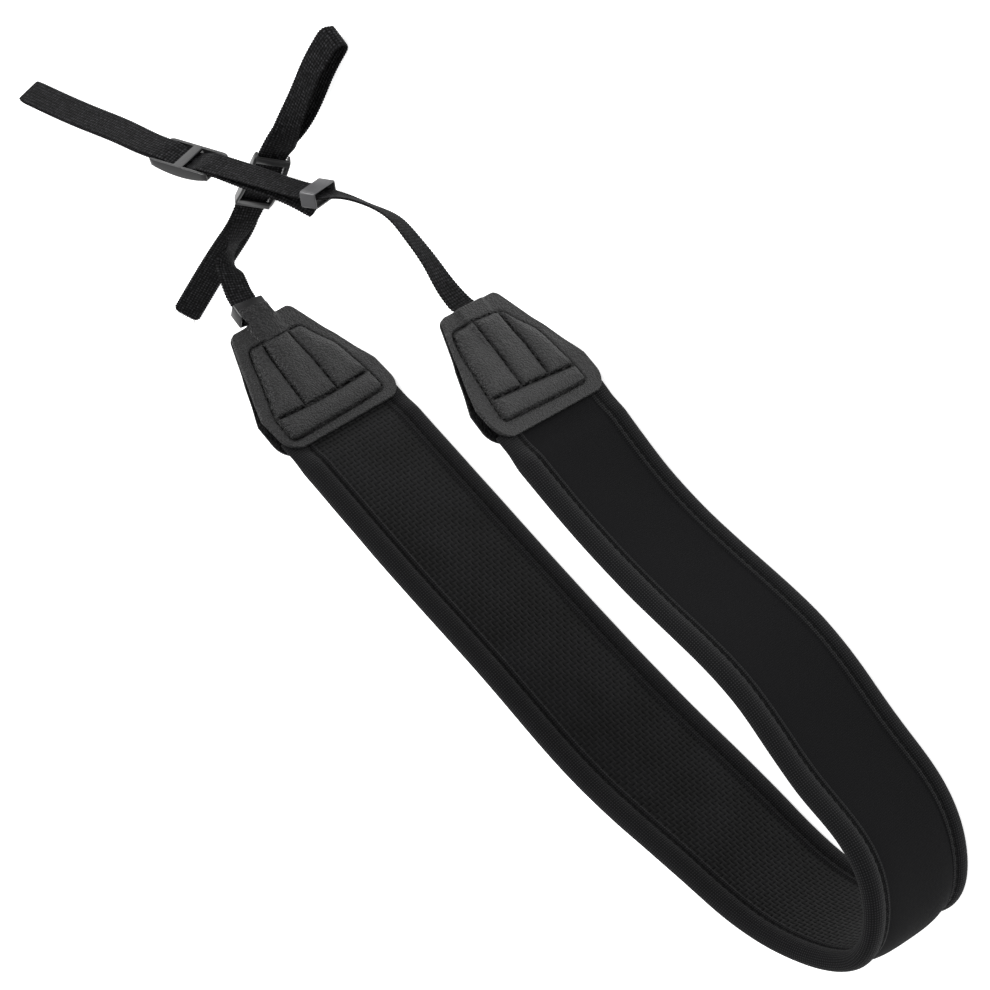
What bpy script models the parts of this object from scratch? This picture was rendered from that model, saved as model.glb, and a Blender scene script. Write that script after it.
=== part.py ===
"""Camera neck strap: a neoprene band bent into a U, with leather end tabs, webbing, keepers and buckles.

The band stands on its long edge. +X runs from the bend to the camera loops, +Z is up, and the floor is Z = 0.
All sizes below are in millimetres; the meshes are made in metres.
"""
import math
from collections import namedtuple

import bmesh
import bpy
import numpy as np
from mathutils import Matrix

MM = 0.001

# ---- driving dimensions ----
PLAN_CENTRE = (13.20, -30.21)
BAND_HEIGHT = 60.0
CORE_FACE = 1.95
CORE_BACK = -0.8
CORE_TO_EDGE = 2.2
CORE_START = 28.0
CORE_INSIDE_TAB = 1.5
GRIP_FACE = -1.85
GRIP_BACK = -1.05
GRIP_TO_EDGE = 3.2
GRIP_START = 40.0
BINDING_HALF = 3.6
BINDING_WALL = 1.0
BINDING_WIDTH = 10.5
BINDING_ROUNDNESS = 0.62
FOOT_FLAT = 0.25

TAB_LENGTH = 53.0
TAB_TAPER = 36.0
TAB_NARROW_RADIUS = 2.5
TAB_WIDE_RADIUS = 8.0
TAB_CLAMP = 8.0
TAB_SEAM_HALF = 0.15
TAB_PRESS = 0.5
TAB_PRESS_REACH = 9.0
LEATHER = 1.0
RIB_RISE = 1.2
RIB_MIDDLES = (-0.55, 0.0, 0.55)
RIB_HALF_WIDTH = 0.27
CROSS_RIB_FROM_WIDE_END = 9.5
CROSS_RIB_HALF_WIDTH = 4.0

WEBBING_WIDTH = 10.7
WEBBING_THICK = 1.2
WEBBING_EDGE = 0.6
TAIL_START = -19.0
FINE_STEPS = 40

KEEPER_LENGTH = 6.8
KEEPER_WIDTH = 13.1
KEEPER_DEPTH = 6.4
KEEPER_WALL = 0.8
KEEPER_RADIUS = 1.0
KEEPER_BEVEL = 0.35

BUCKLE_LENGTH = 29.0
RAIL_GAP = 11.6
RAIL_WIDTH = 1.3
RAIL_FRONT = 2.6
RAIL_END_ROUND = 2.6
RAIL_END_TRIM = 0.72
RAIL_DEPTH = 5.2
RAIL_END_DEPTH = 3.0
RAIL_RADIUS = 0.45
BAR_OVERLAP = 0.8
BAR_RADIUS = 0.35

Bar = namedtuple("Bar", "at length back front")
CENTRE_BAR = Bar(0.0, 4.4, 1.4, 2.6)
END_BAR = Bar(12.7, 3.2, -0.9, 0.4)
BUCKLE_SET_BACK = 2.05

# ---- the band's foot line on the floor, from the back arm's tab round the bend to the front arm's tab.
# lean tips the band's top outwards, and flats is how many flats reach to the next row. ----
BandRow = namedtuple("BandRow", "x y lean_deg flats")
BAND_ROUTE = (
    BandRow(105.6, -4.8, 6.0, 4),
    BandRow(48.0, -1.0, 4.2, 2),
    BandRow(-7.1, 0.9, 5.4, 2),
    BandRow(-59.0, 3.0, 5.4, 2),
    BandRow(-108.0, 2.9, 8.4, 2),
    BandRow(-154.9, 1.5, 3.8, 3),
    BandRow(-196.2, -2.5, -1.0, 5),
    BandRow(-225.0, -27.2, -2.2, 5),
    BandRow(-205.3, -56.4, 3.0, 4),
    BandRow(-172.8, -65.8, 1.2, 2),
    BandRow(-134.0, -73.5, 2.0, 2),
    BandRow(-94.0, -71.7, 3.4, 2),
    BandRow(-53.0, -70.7, 4.6, 2),
    BandRow(-12.0, -78.0, 1.2, 3),
    BandRow(36.0, -85.4, -1.0, 0),
)

# ---- each arm's tabs: their length, half their height at each end, and the height of their middle there ----
TabSize = namedtuple("TabSize", "length narrow_half wide_half narrow_middle wide_middle")
BACK_TAB = TabSize(53.0, 15.2, 30.4, 28.9, 30.8)
FRONT_TAB = TabSize(50.6, 14.8, 30.4, 30.0, 30.8)

# ---- half the space between the two leathers of a tab, by distance from its narrow end ----
TabRow = namedtuple("TabRow", "from_end half_space")
TAB_SPACE = (
    TabRow(0.0, 1.2),
    TabRow(18.0, 1.1),
    TabRow(27.0, 1.2),
    TabRow(37.0, 1.45),
    TabRow(44.0, 1.9),
    TabRow(53.0, 2.0),
)

# ---- each webbing's route from its tab out to the end of its camera loop. lean tips the upper edge to the
# left of the way it runs, half_gap is half the distance between the loop's two layers, and flats is how many
# flats reach to the next row. ----
LeadRow = namedtuple("LeadRow", "x y z lean_deg half_gap flats")
FRONT_LEAD = (
    LeadRow(38.0, -84.2, 30.0, 5.0, 0.75, 1),
    LeadRow(45.6, -85.0, 30.0, -2.0, 0.75, 2),
    LeadRow(56.5, -88.4, 29.6, -21.0, 0.75, 2),
    LeadRow(68.6, -90.3, 29.0, -31.0, 0.75, 1),
    LeadRow(76.0, -90.5, 28.4, -35.0, 0.75, 1),
    LeadRow(83.5, -87.8, 27.7, -36.0, 0.75, 1),
    LeadRow(90.9, -83.2, 27.2, -33.0, 0.75, 1),
    LeadRow(99.0, -77.7, 27.2, -20.0, 0.75, 2),
    LeadRow(108.9, -70.2, 28.2, 5.0, 0.75, 2),
    LeadRow(119.9, -62.9, 29.0, 9.0, 0.75, 2),
    LeadRow(131.9, -54.7, 28.2, 12.0, 0.75, 2),
    LeadRow(142.5, -47.3, 27.2, 15.0, 0.75, 1),
    LeadRow(150.6, -41.8, 26.5, 17.5, 0.75, 2),
    LeadRow(164.5, -32.9, 25.9, 18.0, 0.75, 1),
    LeadRow(178.4, -24.0, 25.3, 19.0, 0.75, 2),
    LeadRow(196.3, -12.1, 20.6, 24.0, 0.75, 3),
    LeadRow(216.8, 2.4, 15.0, 27.0, 0.75, 3),
    LeadRow(251.3, 25.6, 5.6, 28.0, 0.75, 0),
)
FRONT_BUCKLE_ROW = 13
FRONT_KEEPER_ROW = 8
BACK_LEAD = (
    LeadRow(106.4, -1.8, 28.3, 9.0, 0.75, 1),
    LeadRow(111.5, -1.4, 27.2, 11.0, 0.75, 2),
    LeadRow(120.2, -0.4, 24.4, 10.0, 0.75, 2),
    LeadRow(129.2, 0.5, 19.6, -4.0, 0.75, 2),
    LeadRow(135.6, 2.1, 15.0, -20.0, 0.75, 2),
    LeadRow(138.9, 0.3, 11.6, -20.0, 0.75, 2),
    LeadRow(140.9, -4.6, 8.9, 3.0, 0.75, 2),
    LeadRow(142.0, -11.9, 6.5, 25.0, 0.75, 2),
    LeadRow(142.7, -18.5, 5.8, 38.0, 0.75, 1),
    LeadRow(142.5, -34.8, 7.4, 39.0, 0.75, 1),
    LeadRow(142.4, -43.0, 8.25, 39.0, 0.75, 1),
    LeadRow(142.1, -51.2, 9.1, 40.0, 0.75, 2),
    LeadRow(141.1, -59.0, 9.8, 58.0, 1.60, 2),
    LeadRow(140.5, -67.4, 10.0, 82.0, 2.80, 3),
    LeadRow(141.0, -82.1, 9.2, 98.0, 3.50, 2),
    LeadRow(142.6, -95.6, 8.0, 101.0, 3.50, 2),
    LeadRow(142.8, -108.0, 7.0, 101.0, 3.30, 0),
)
BACK_BUCKLE_ROW = 9
BACK_KEEPER_ROW = 1

# ---- where each webbing lies between the leathers of its tab ----
SewnRow = namedtuple("SewnRow", "from_end height")
FRONT_SEWN = (SewnRow(22.0, 30.0), SewnRow(11.0, 30.0), SewnRow(0.5, 30.0))
BACK_SEWN = (SewnRow(22.0, 31.0), SewnRow(11.0, 29.8), SewnRow(0.5, 28.5))

# ---- each webbing's free tail, from behind its buckle to its cut end ----
TailRow = namedtuple("TailRow", "x y z lean_deg")
FRONT_TAIL = (
    TailRow(133.0, -50.5, 25.4, 22.0),
    TailRow(120.7, -57.7, 24.8, 35.0),
    TailRow(108.5, -62.3, 24.2, 45.0),
)
BACK_TAIL = (
    TailRow(142.7, -9.0, 4.9, 44.0),
    TailRow(143.7, 5.0, 4.2, 54.0),
    TailRow(145.6, 24.5, 3.2, 60.0),
    TailRow(147.0, 51.3, 3.0, 62.0),
)

# ---- how the webbing weaves through a buckle: its height off the route by distance from the centre bar ----
WeaveRow = namedtuple("WeaveRow", "along height")
WEAVE = (
    WeaveRow(-15.0, 0.0),
    WeaveRow(-10.3, 0.0),
    WeaveRow(-6.4, -1.2),
    WeaveRow(-2.6, -2.4),
    WeaveRow(2.6, -2.4),
    WeaveRow(6.4, -1.2),
    WeaveRow(10.3, 0.0),
    WeaveRow(15.0, 0.0),
)

# ---- the colour and roughness of each finish ----
Finish = namedtuple("Finish", "colour roughness")
FINISHES = {
    "neoprene": Finish((0.012, 0.012, 0.013), 0.75),
    "grip_rubber": Finish((0.014, 0.014, 0.015), 0.6),
    "knit_binding": Finish((0.012, 0.012, 0.013), 0.9),
    "leather": Finish((0.045, 0.045, 0.047), 0.55),
    "webbing": Finish((0.010, 0.010, 0.011), 0.85),
    "plastic": Finish((0.075, 0.075, 0.078), 0.45),
}


def clear_scene():
    """Remove whatever the scene holds."""
    for thing in list(bpy.data.objects):
        bpy.data.objects.remove(thing, do_unlink=True)


def finish(name):
    """The material of one finish, made once."""
    material = bpy.data.materials.get(name)
    if material is None:
        material = bpy.data.materials.new(name)
        material.use_nodes = True
        shader = material.node_tree.nodes["Principled BSDF"]
        shader.inputs["Base Color"].default_value = (*FINISHES[name].colour, 1.0)
        shader.inputs["Roughness"].default_value = FINISHES[name].roughness
        shader.inputs["Metallic"].default_value = 0.0
    return material


def unit(vectors):
    """Each row scaled to length one."""
    return vectors / np.linalg.norm(vectors, axis=-1, keepdims=True)


def curve_through(rows, at, axes):
    """Read a natural cubic spline at row numbers such as 1.5; its first axes columns are positions."""
    rows = np.asarray(rows, float)
    chord = np.linalg.norm(np.diff(rows[:, :axes], axis=0), axis=1)
    count = len(rows)
    system = np.eye(count)
    right = np.zeros_like(rows)
    for i in range(1, count - 1):
        before, after = chord[i - 1], chord[i]
        system[i, i - 1:i + 2] = before, 2 * (before + after), after
        right[i] = 6 * ((rows[i + 1] - rows[i]) / after - (rows[i] - rows[i - 1]) / before)
    bend = np.linalg.solve(system, right)
    i = np.clip(np.floor(at).astype(int), 0, count - 2)
    span = chord[i][:, None]
    b = (np.asarray(at) - i)[:, None]
    a = 1 - b
    curved = ((a ** 3 - a) * bend[i] + (b ** 3 - b) * bend[i + 1]) * span ** 2 / 6
    return a * rows[i] + b * rows[i + 1] + curved


def ease(x, low, high):
    """0 below low, 1 above high, smooth between."""
    t = np.clip((np.asarray(x, float) - low) / (high - low), 0, 1)
    return t * t * (3 - 2 * t)


class Band:
    """The band's surface: stations along its foot line, each with its own lean."""

    def __init__(self):
        rows = [(row.x, row.y, row.lean_deg) for row in BAND_ROUTE]
        at = [0.0]
        for i, row in enumerate(BAND_ROUTE):
            at += [i + k / row.flats for k in range(1, row.flats + 1)]
        fine_at = np.linspace(0, len(rows) - 1, 1401)
        self.fine = curve_through(rows, fine_at, axes=2)
        steps = np.linalg.norm(np.diff(self.fine[:, :2], axis=0), axis=1)
        self.fine_length = np.concatenate([[0.0], np.cumsum(steps)])
        self.total = self.fine_length[-1]
        self.stations = np.interp(at, fine_at, self.fine_length)

    def read(self, along, column):
        """One column of the route at each distance along it."""
        return np.interp(along, self.fine_length, self.fine[:, column])

    def frame(self, along):
        """Foot point, outward normal and up direction of the band at each distance along it."""
        ahead = np.clip(along + 1.0, 0, self.total)
        behind = np.clip(along - 1.0, 0, self.total)
        way = unit(np.stack([self.read(ahead, k) - self.read(behind, k) for k in (0, 1)], axis=-1))
        tip = np.radians(self.read(along, 2))
        level = np.zeros(way.shape[:-1])
        out = np.stack([way[..., 1], -way[..., 0], level], axis=-1)
        upright = np.stack([level, level, level + 1], axis=-1)
        normal = out * np.cos(tip)[..., None] - upright * np.sin(tip)[..., None]
        up = out * np.sin(tip)[..., None] + upright * np.cos(tip)[..., None]
        foot = np.stack([self.read(along, 0), self.read(along, 1), level - FOOT_FLAT], axis=-1)
        return foot, normal, up

    def points(self, along, out, height):
        """World points, in millimetres, from distances along, out from and up the band."""
        along, out, height = np.broadcast_arrays(along, out, height)
        foot, normal, up = self.frame(along)
        place = foot + normal * out[..., None] + up * height[..., None]
        place[..., 2] = np.maximum(place[..., 2], 0.0)
        return place


    def pressed_points(self, along, out, height):
        """Points of a layer that the tabs clamp: it keeps less of its distance out inside them."""
        from_end = np.minimum(along, self.total - along)
        press = 1 - TAB_PRESS * (1 - ease(from_end, TAB_LENGTH, TAB_LENGTH + TAB_PRESS_REACH))
        return self.points(along, out * press, height)


def make_holder():
    """The empty that centres the whole strap over the origin."""
    holder = bpy.data.objects.new("neck_strap", None)
    holder.location = (-PLAN_CENTRE[0] * MM, -PLAN_CENTRE[1] * MM, 0.0)
    bpy.context.collection.objects.link(holder)


def make_object(name, points, faces, material):
    """One object from points in millimetres and faces, shaded smooth with sharp edges kept."""
    mesh = bpy.data.meshes.new(name)
    mesh.from_pydata((np.asarray(points) * MM).tolist(), [], faces)
    mesh.materials.append(finish(material))
    shape = bmesh.new()
    shape.from_mesh(mesh)
    bmesh.ops.recalc_face_normals(shape, faces=shape.faces)
    shape.to_mesh(mesh)
    shape.free()
    mesh.shade_smooth()
    mesh.set_sharp_from_angle(angle=math.radians(40))
    thing = bpy.data.objects.new(name, mesh)
    bpy.context.collection.objects.link(thing)
    thing.parent = bpy.data.objects["neck_strap"]
    return thing


def thick_sheet(name, front, back, material):
    """A closed sheet between two grids of points of the same size, joined round the rim."""
    rows, columns = front.shape[:2]
    number = np.arange(rows * columns).reshape(rows, columns)
    other = number + rows * columns
    faces = []
    for i in range(rows - 1):
        for j in range(columns - 1):
            faces.append((number[i, j], number[i + 1, j], number[i + 1, j + 1], number[i, j + 1]))
            faces.append((other[i, j], other[i, j + 1], other[i + 1, j + 1], other[i + 1, j]))
    rim = ([(i, 0) for i in range(rows)] + [(rows - 1, j) for j in range(1, columns)]
           + [(i, columns - 1) for i in range(rows - 2, -1, -1)]
           + [(0, j) for j in range(columns - 2, 0, -1)])
    for here, there in zip(rim, rim[1:] + rim[:1]):
        faces.append((number[here], other[here], other[there], number[there]))
    points = np.concatenate([front.reshape(-1, 3), back.reshape(-1, 3)])
    return make_object(name, points, [tuple(int(n) for n in face) for face in faces], material)


def tab_half_height(tab, from_end):
    """Half the tab's height at each distance from its narrow end, with its four corners rounded."""
    half = tab.narrow_half + (tab.wide_half - tab.narrow_half) * np.clip(from_end / TAB_TAPER, 0, 1)
    narrow = np.clip(1 - from_end / TAB_NARROW_RADIUS, 0, 1)
    half = half - TAB_NARROW_RADIUS * (1 - np.sqrt(1 - narrow ** 2))
    wide = np.clip(1 - (tab.length - from_end) / TAB_WIDE_RADIUS, 0, 1)
    return half - TAB_WIDE_RADIUS * (1 - np.sqrt(1 - wide ** 2))


def tab_middle(tab, from_end):
    """The height of the tab's middle at each distance from its narrow end."""
    return tab.narrow_middle + (tab.wide_middle - tab.narrow_middle) * np.clip(from_end / TAB_TAPER, 0, 1)


def band_stations(band, start, stop):
    """The band's own stations between two distances, with both ends added."""
    shared = np.array([GRIP_START, TAB_LENGTH - TAB_CLAMP, TAB_LENGTH, TAB_LENGTH + TAB_PRESS_REACH])
    shared = np.concatenate([shared, band.total - shared])
    own = band.stations[np.abs(band.stations[:, None] - shared).min(axis=1) > 7.0]
    inside = np.concatenate([own, shared])
    inside = inside[(inside > start + 0.5) & (inside < stop - 0.5)]
    return np.sort(np.concatenate([[start], inside, [stop]]))


def build_core(band):
    """The neoprene core; inside the tabs it narrows with them."""
    along = band_stations(band, CORE_START, band.total - CORE_START)
    from_end = np.minimum(along, band.total - along)
    inside_tab = tab_half_height(FRONT_TAB, np.minimum(from_end, TAB_TAPER)) - CORE_INSIDE_TAB
    half = np.minimum(BAND_HEIGHT / 2 - CORE_TO_EDGE, inside_tab)
    height = BAND_HEIGHT / 2 + half[:, None] * np.linspace(-1, 1, 4)
    front = band.pressed_points(along[:, None], CORE_FACE, height)
    back = band.pressed_points(along[:, None], CORE_BACK, height)
    thick_sheet("pad_core", front, back, "neoprene")


def build_grip(band):
    """The anti-slip layer on the neck side, ending under the tabs."""
    along = band_stations(band, GRIP_START, band.total - GRIP_START)
    half = BAND_HEIGHT / 2 - GRIP_TO_EDGE
    height = BAND_HEIGHT / 2 + np.linspace(-half, half, 4)[None, :]
    front = band.pressed_points(along[:, None], GRIP_BACK, height)
    back = band.pressed_points(along[:, None], GRIP_FACE, height)
    thick_sheet("grip_panel", front, back, "grip_rubber")


def binding_profile(half, wall, deep):
    """A U fold: its run out from and up from the edge, from the outer lip round to the neck-side lip."""
    turn = np.radians((0, 45, 75, 105, 135, 180))
    fold_out = half * np.cos(turn)
    fold_up = half * BINDING_ROUNDNESS * (1 - np.sin(turn)) + (BINDING_WALL - wall)
    out = np.concatenate([[half - 0.1], fold_out, [0.1 - half]])
    up = np.concatenate([[deep], fold_up, [deep]])
    return out, up


def build_binding(band, name, at_top):
    """Knit tape folded round one long edge, pressed thinner where a tab clamps it."""
    start = TAB_LENGTH - TAB_CLAMP
    along = band_stations(band, start, band.total - start)
    grids = []
    for half, wall in ((BINDING_HALF, BINDING_WALL), (BINDING_HALF - BINDING_WALL, 0.0)):
        out, up = binding_profile(half, wall, BINDING_WIDTH)
        height = BAND_HEIGHT - up if at_top else up
        grids.append(band.pressed_points(along[:, None], out[None, :], height[None, :]))
    thick_sheet(name, grids[0], grids[1], "knit_binding")


def quilt_rise(tab, from_end, share):
    """Height of the padded ribs: three that run lengthwise and one across the wide end."""
    rise = np.zeros(np.broadcast(from_end, share).shape)
    for middle in RIB_MIDDLES:
        across = np.clip(1 - ((share - middle) / RIB_HALF_WIDTH) ** 2, 0, 1)
        rise = rise + across * ease(from_end, 5.0, 12.0) * (1 - ease(from_end, 34.0, 39.0))
    cross_rib_at = tab.length - CROSS_RIB_FROM_WIDE_END
    cross_rib = np.clip(1 - ((from_end - cross_rib_at) / CROSS_RIB_HALF_WIDTH) ** 2, 0, 1)
    return RIB_RISE * (rise + cross_rib * (1 - ease(np.abs(share), 0.7, 0.85)))


def build_tab(band, name, tab, sewn, at_start, outside):
    """One leather tab; both tabs of an arm close on the webbing at the narrow end and clamp the band."""
    from_wide_end = np.array([13.5, 9.5, 5.5, 3.0, 1.0, 0.0])
    from_end = np.concatenate([[0.0, 0.8, 2.5, 6.0, 12.0, 20.0, 28.0, 34.0], tab.length - from_wide_end])
    share = np.array([-1.0, -0.82, -0.68, -0.42, -0.14, 0.14, 0.42, 0.68, 0.82, 1.0])
    height = tab_middle(tab, from_end)[:, None] + tab_half_height(tab, from_end)[:, None] * share
    space = np.interp(from_end, [row.from_end for row in TAB_SPACE], [row.half_space for row in TAB_SPACE])
    space = space[:, None]
    outward = sewn[::-1]
    webbing_middle = np.interp(from_end, [row.from_end for row in outward], [row.height for row in outward])
    off_webbing = np.abs(height - webbing_middle[:, None])
    beside = ease(off_webbing, WEBBING_WIDTH / 2 + 0.8, WEBBING_WIDTH / 2 + 3.5)
    pinch = beside * (1 - ease(from_end, 14.0, 24.0))[:, None]
    space = space * (1 - pinch) + TAB_SEAM_HALF * pinch
    side = 1.0 if outside else -1.0
    along = from_end if at_start else band.total - from_end
    rise = quilt_rise(tab, from_end[:, None], share[None, :])
    inner = band.points(along[:, None], side * space, height)
    outer = band.points(along[:, None], side * (space + LEATHER + rise), height)
    thick_sheet(name, outer, inner, "leather")


def strap_frame(place, width_way):
    """Thickness direction and squared-up width direction of a strap along its centre line."""
    step = unit(np.diff(place, axis=0))
    along = np.concatenate([step[:1], unit(step[1:] + step[:-1]), step[-1:]])
    through = unit(np.cross(along, width_way))
    return through, np.cross(through, along)


def lean_way(place, lean_deg):
    """Width direction of a strap: upright, tipped by lean to the left of the way it runs."""
    way = np.gradient(place, axis=0)
    way[:, 2] = 0
    way = unit(way)
    left = np.stack([-way[:, 1], way[:, 0], np.zeros(len(way))], axis=-1)
    lean = np.radians(lean_deg)[:, None]
    return np.cos(lean) * np.array([0.0, 0.0, 1.0]) + np.sin(lean) * left


class Webbing:
    """One webbing's route: out from the tab, round the camera loop, back through the buckle, and its tail."""

    def __init__(self, lead, tail, buckle_row, keeper_row, turned_over):
        columns = [(row.x, row.y, row.z, row.lean_deg, row.half_gap) for row in lead]
        fine_at = np.linspace(0, len(lead) - 1, 1 + FINE_STEPS * (len(lead) - 1))
        fine = curve_through(columns, fine_at, axes=3)
        travelled = np.concatenate([[0], np.cumsum(np.linalg.norm(np.diff(fine[:, :3], axis=0), axis=1))])
        travelled = travelled - travelled[FINE_STEPS * buckle_row]
        at = [0.0]
        for i, row in enumerate(lead):
            at += [i + k / row.flats for k in range(1, row.flats + 1)]
        stations = np.interp(at, fine_at, travelled)
        stations = stations[np.abs(stations) > -TAIL_START]
        stations = np.concatenate([stations, [row.along for row in WEAVE], [TAIL_START, -TAIL_START, 0.0]])
        keeper = travelled[FINE_STEPS * keeper_row]
        self.from_buckle = np.unique(np.append(stations, keeper).round(4))
        self.keeper = int(np.argmin(np.abs(self.from_buckle - keeper)))
        self.buckle = int(np.argmin(np.abs(self.from_buckle)))
        rows = np.stack([np.interp(self.from_buckle, travelled, column) for column in fine.T], axis=-1)
        self.line = rows[:, :3]
        self.upright = lean_way(self.line, rows[:, 3])
        self.normal, self.width = strap_frame(self.line, self.upright)
        self.turned_over = turned_over
        self.half_gap = rows[:, 4]
        self.tail = tail

    def layers(self, sewn_place, sewn_width):
        """Centre line and width direction of the whole strap, end to end."""
        weave = np.interp(self.from_buckle, [row.along for row in WEAVE], [row.height for row in WEAVE])
        weave = (-weave if self.turned_over else weave)[:, None]
        gap = (self.half_gap * ease(self.from_buckle, -60.0, -22.0))[:, None]
        out = self.line + self.normal * (weave + gap)
        back = self.line + self.normal * (weave - self.half_gap[:, None])
        turn = np.radians((45.0, 90.0, 135.0))[:, None]
        onward = unit(self.line[-1] - self.line[-2])
        fold = self.line[-1] + gap[-1] * (np.cos(turn) * self.normal[-1] + np.sin(turn) * onward)
        kept = np.flatnonzero(self.from_buckle >= TAIL_START)[::-1]
        tail_rows = [tuple(back[kept[-1]])] + [(row.x, row.y, row.z) for row in self.tail]
        tail_at = np.linspace(0, len(self.tail), 1 + 3 * len(self.tail))
        tail = curve_through(tail_rows, tail_at, axes=3)
        lean = np.interp(tail_at, np.arange(1, len(self.tail) + 1), [row.lean_deg for row in self.tail])
        tail_width = -lean_way(tail, -lean)
        first = self.width[kept[-1]]
        blend = np.linspace(0, 1, 4)[:, None]
        tail_width = tail_width * np.sign((tail_width[0] * first).sum())
        tail_width[:4] = unit((1 - blend) * first + blend * tail_width[:4])
        place = np.concatenate([sewn_place, out, fold, back[kept], tail[1:]])
        width = np.concatenate([sewn_width, self.width, self.width[[-1, -1, -1]], self.width[kept],
                                tail_width[1:]])
        return place, width

    def piece_frame(self, station, lift):
        """Centre and axes (along, across, through) of a piece that the webbing runs through."""
        along = unit(self.line[station + 1] - self.line[max(station - 1, 0)])
        through = unit(np.cross(along, self.upright[station]))
        across = np.cross(through, along)
        if self.turned_over:
            through, across = -through, -across
        return self.line[station] + through * lift, along, across, through


def build_webbing(band, name, webbing, sewn, at_start):
    """The woven strap as one solid, a little thinner along its two selvedges."""
    from_end = np.array([row.from_end for row in sewn])
    along = from_end if at_start else band.total - from_end
    sewn_place = band.points(along, 0.0, np.array([row.height for row in sewn]))
    place, width_way = webbing.layers(sewn_place, band.frame(along)[2])
    through, width_way = strap_frame(place, width_way)
    offset = WEBBING_WIDTH / 2 * np.array([-1.0, -0.86, 0.86, 1.0])
    half_thick = WEBBING_THICK / 2 * np.array([WEBBING_EDGE, 1.0, 1.0, WEBBING_EDGE])
    middle = place[:, None] + width_way[:, None] * offset[None, :, None]
    swell = through[:, None] * half_thick[None, :, None]
    thick_sheet(name, middle + swell, middle - swell, "webbing")


def rounded_outline(wide, deep, radius, corner_points):
    """Points round a rectangle with rounded corners, its middle at zero."""
    outline = []
    for corner in range(4):
        centre = np.array([(wide / 2 - radius) * (1 if corner in (0, 3) else -1),
                           (deep / 2 - radius) * (1 if corner in (0, 1) else -1)])
        turn = np.radians(90 * corner + np.linspace(0, 90, corner_points))
        outline += [centre + radius * np.array([math.cos(a), math.sin(a)]) for a in turn]
    return np.array(outline)


def tube(rings, capped):
    """Points and faces of a tube through rings of points, its ends capped or else joined to each other."""
    count = len(rings[0])
    points = np.concatenate(rings)
    faces = []
    for i in range(len(rings) - 1 if capped else len(rings)):
        here, there = i * count, ((i + 1) % len(rings)) * count
        for j in range(count):
            k = (j + 1) % count
            faces.append((here + j, here + k, there + k, there + j))
    if capped:
        faces.append(tuple(range(count))[::-1])
        faces.append(tuple(range((len(rings) - 1) * count, len(rings) * count)))
    return points, faces


def keeper_mesh():
    """A rounded sleeve, open from end to end along its own X."""
    rings = []
    for end, inset in ((-1, 0.0), (-1, KEEPER_BEVEL), (1, KEEPER_BEVEL), (1, 0.0)):
        x = end * (KEEPER_LENGTH / 2 - inset)
        shrink = 2 * (KEEPER_BEVEL - inset)
        ring = rounded_outline(KEEPER_WIDTH - shrink, KEEPER_DEPTH - shrink, KEEPER_RADIUS, 4)
        rings.append(np.column_stack([np.full(len(ring), x), ring]))
    for end in (1, -1):
        ring = rounded_outline(KEEPER_WIDTH - 2 * KEEPER_WALL, KEEPER_DEPTH - 2 * KEEPER_WALL, 0.4, 4)
        rings.append(np.column_stack([np.full(len(ring), end * KEEPER_LENGTH / 2), ring]))
    return tube(rings, capped=False)


def rail_mesh(side):
    """One side rail: flat in front, bellied behind, thinner and rounded off towards both ends."""
    half = BUCKLE_LENGTH / 2
    from_end = np.array([0.0, 0.5, RAIL_END_ROUND, 8.0])
    reach = np.concatenate([from_end - half, [0.0], half - from_end[::-1]])
    rings = []
    for x in reach:
        depth = RAIL_DEPTH - (RAIL_DEPTH - RAIL_END_DEPTH) * (x / half) ** 2
        corner = max(1 - (half - abs(x)) / RAIL_END_ROUND, 0.0)
        trim = RAIL_END_TRIM * (1 - math.sqrt(1 - corner ** 2))
        wide = RAIL_WIDTH - trim
        ring = rounded_outline(wide, depth - trim, min(RAIL_RADIUS, 0.48 * wide), 3)
        ring[:, 0] += side * (RAIL_GAP + wide) / 2
        ring[:, 1] += RAIL_FRONT - depth / 2
        rings.append(np.column_stack([np.full(len(ring), x), ring]))
    return tube(rings, capped=True)


def bar_mesh(bar, sign):
    """One cross bar, its ends sunk a little into both rails."""
    reach = RAIL_GAP / 2 + BAR_OVERLAP
    ring = rounded_outline(bar.length, bar.front - bar.back, BAR_RADIUS, 3)
    ring += [sign * bar.at, (bar.front + bar.back) / 2]
    rings = [np.column_stack([ring[:, 0], np.full(len(ring), y), ring[:, 1]]) for y in (-reach, reach)]
    return tube(rings, capped=True)


def join(shapes):
    """Several point and face lists as one."""
    points, faces, base = [], [], 0
    for shape_points, shape_faces in shapes:
        points.append(shape_points)
        faces += [tuple(n + base for n in face) for face in shape_faces]
        base += len(shape_points)
    return np.concatenate(points), faces


def place_on(thing, centre, along, across, through):
    """Put an object's own X, Y and Z on the three given directions."""
    matrix = np.eye(4)
    matrix[:3, :3] = np.column_stack([along, across, through])
    matrix[:3, 3] = centre * MM
    thing.matrix_basis = Matrix(matrix.tolist())


def build_keeper(name, webbing):
    """A keeper round the webbing."""
    keeper = make_object(name, *keeper_mesh(), "plastic")
    place_on(keeper, *webbing.piece_frame(webbing.keeper, 0.0))


def build_buckle(name, webbing):
    """A tri-glide buckle: two rails joined with a centre bar in front and two end bars set back."""
    frame = webbing.piece_frame(webbing.buckle, -BUCKLE_SET_BACK)
    rails = make_object(name, *join([rail_mesh(-1), rail_mesh(1)]), "plastic")
    bars = make_object(name + "_bars", *join([bar_mesh(CENTRE_BAR, 1), bar_mesh(END_BAR, -1),
                                               bar_mesh(END_BAR, 1)]), "plastic")
    bars.hide_render = True
    bars.display_type = "WIRE"
    for thing in (rails, bars):
        place_on(thing, *frame)
    union = rails.modifiers.new("bars", "BOOLEAN")
    union.operation = "UNION"
    union.solver = "EXACT"
    union.object = bars


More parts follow.
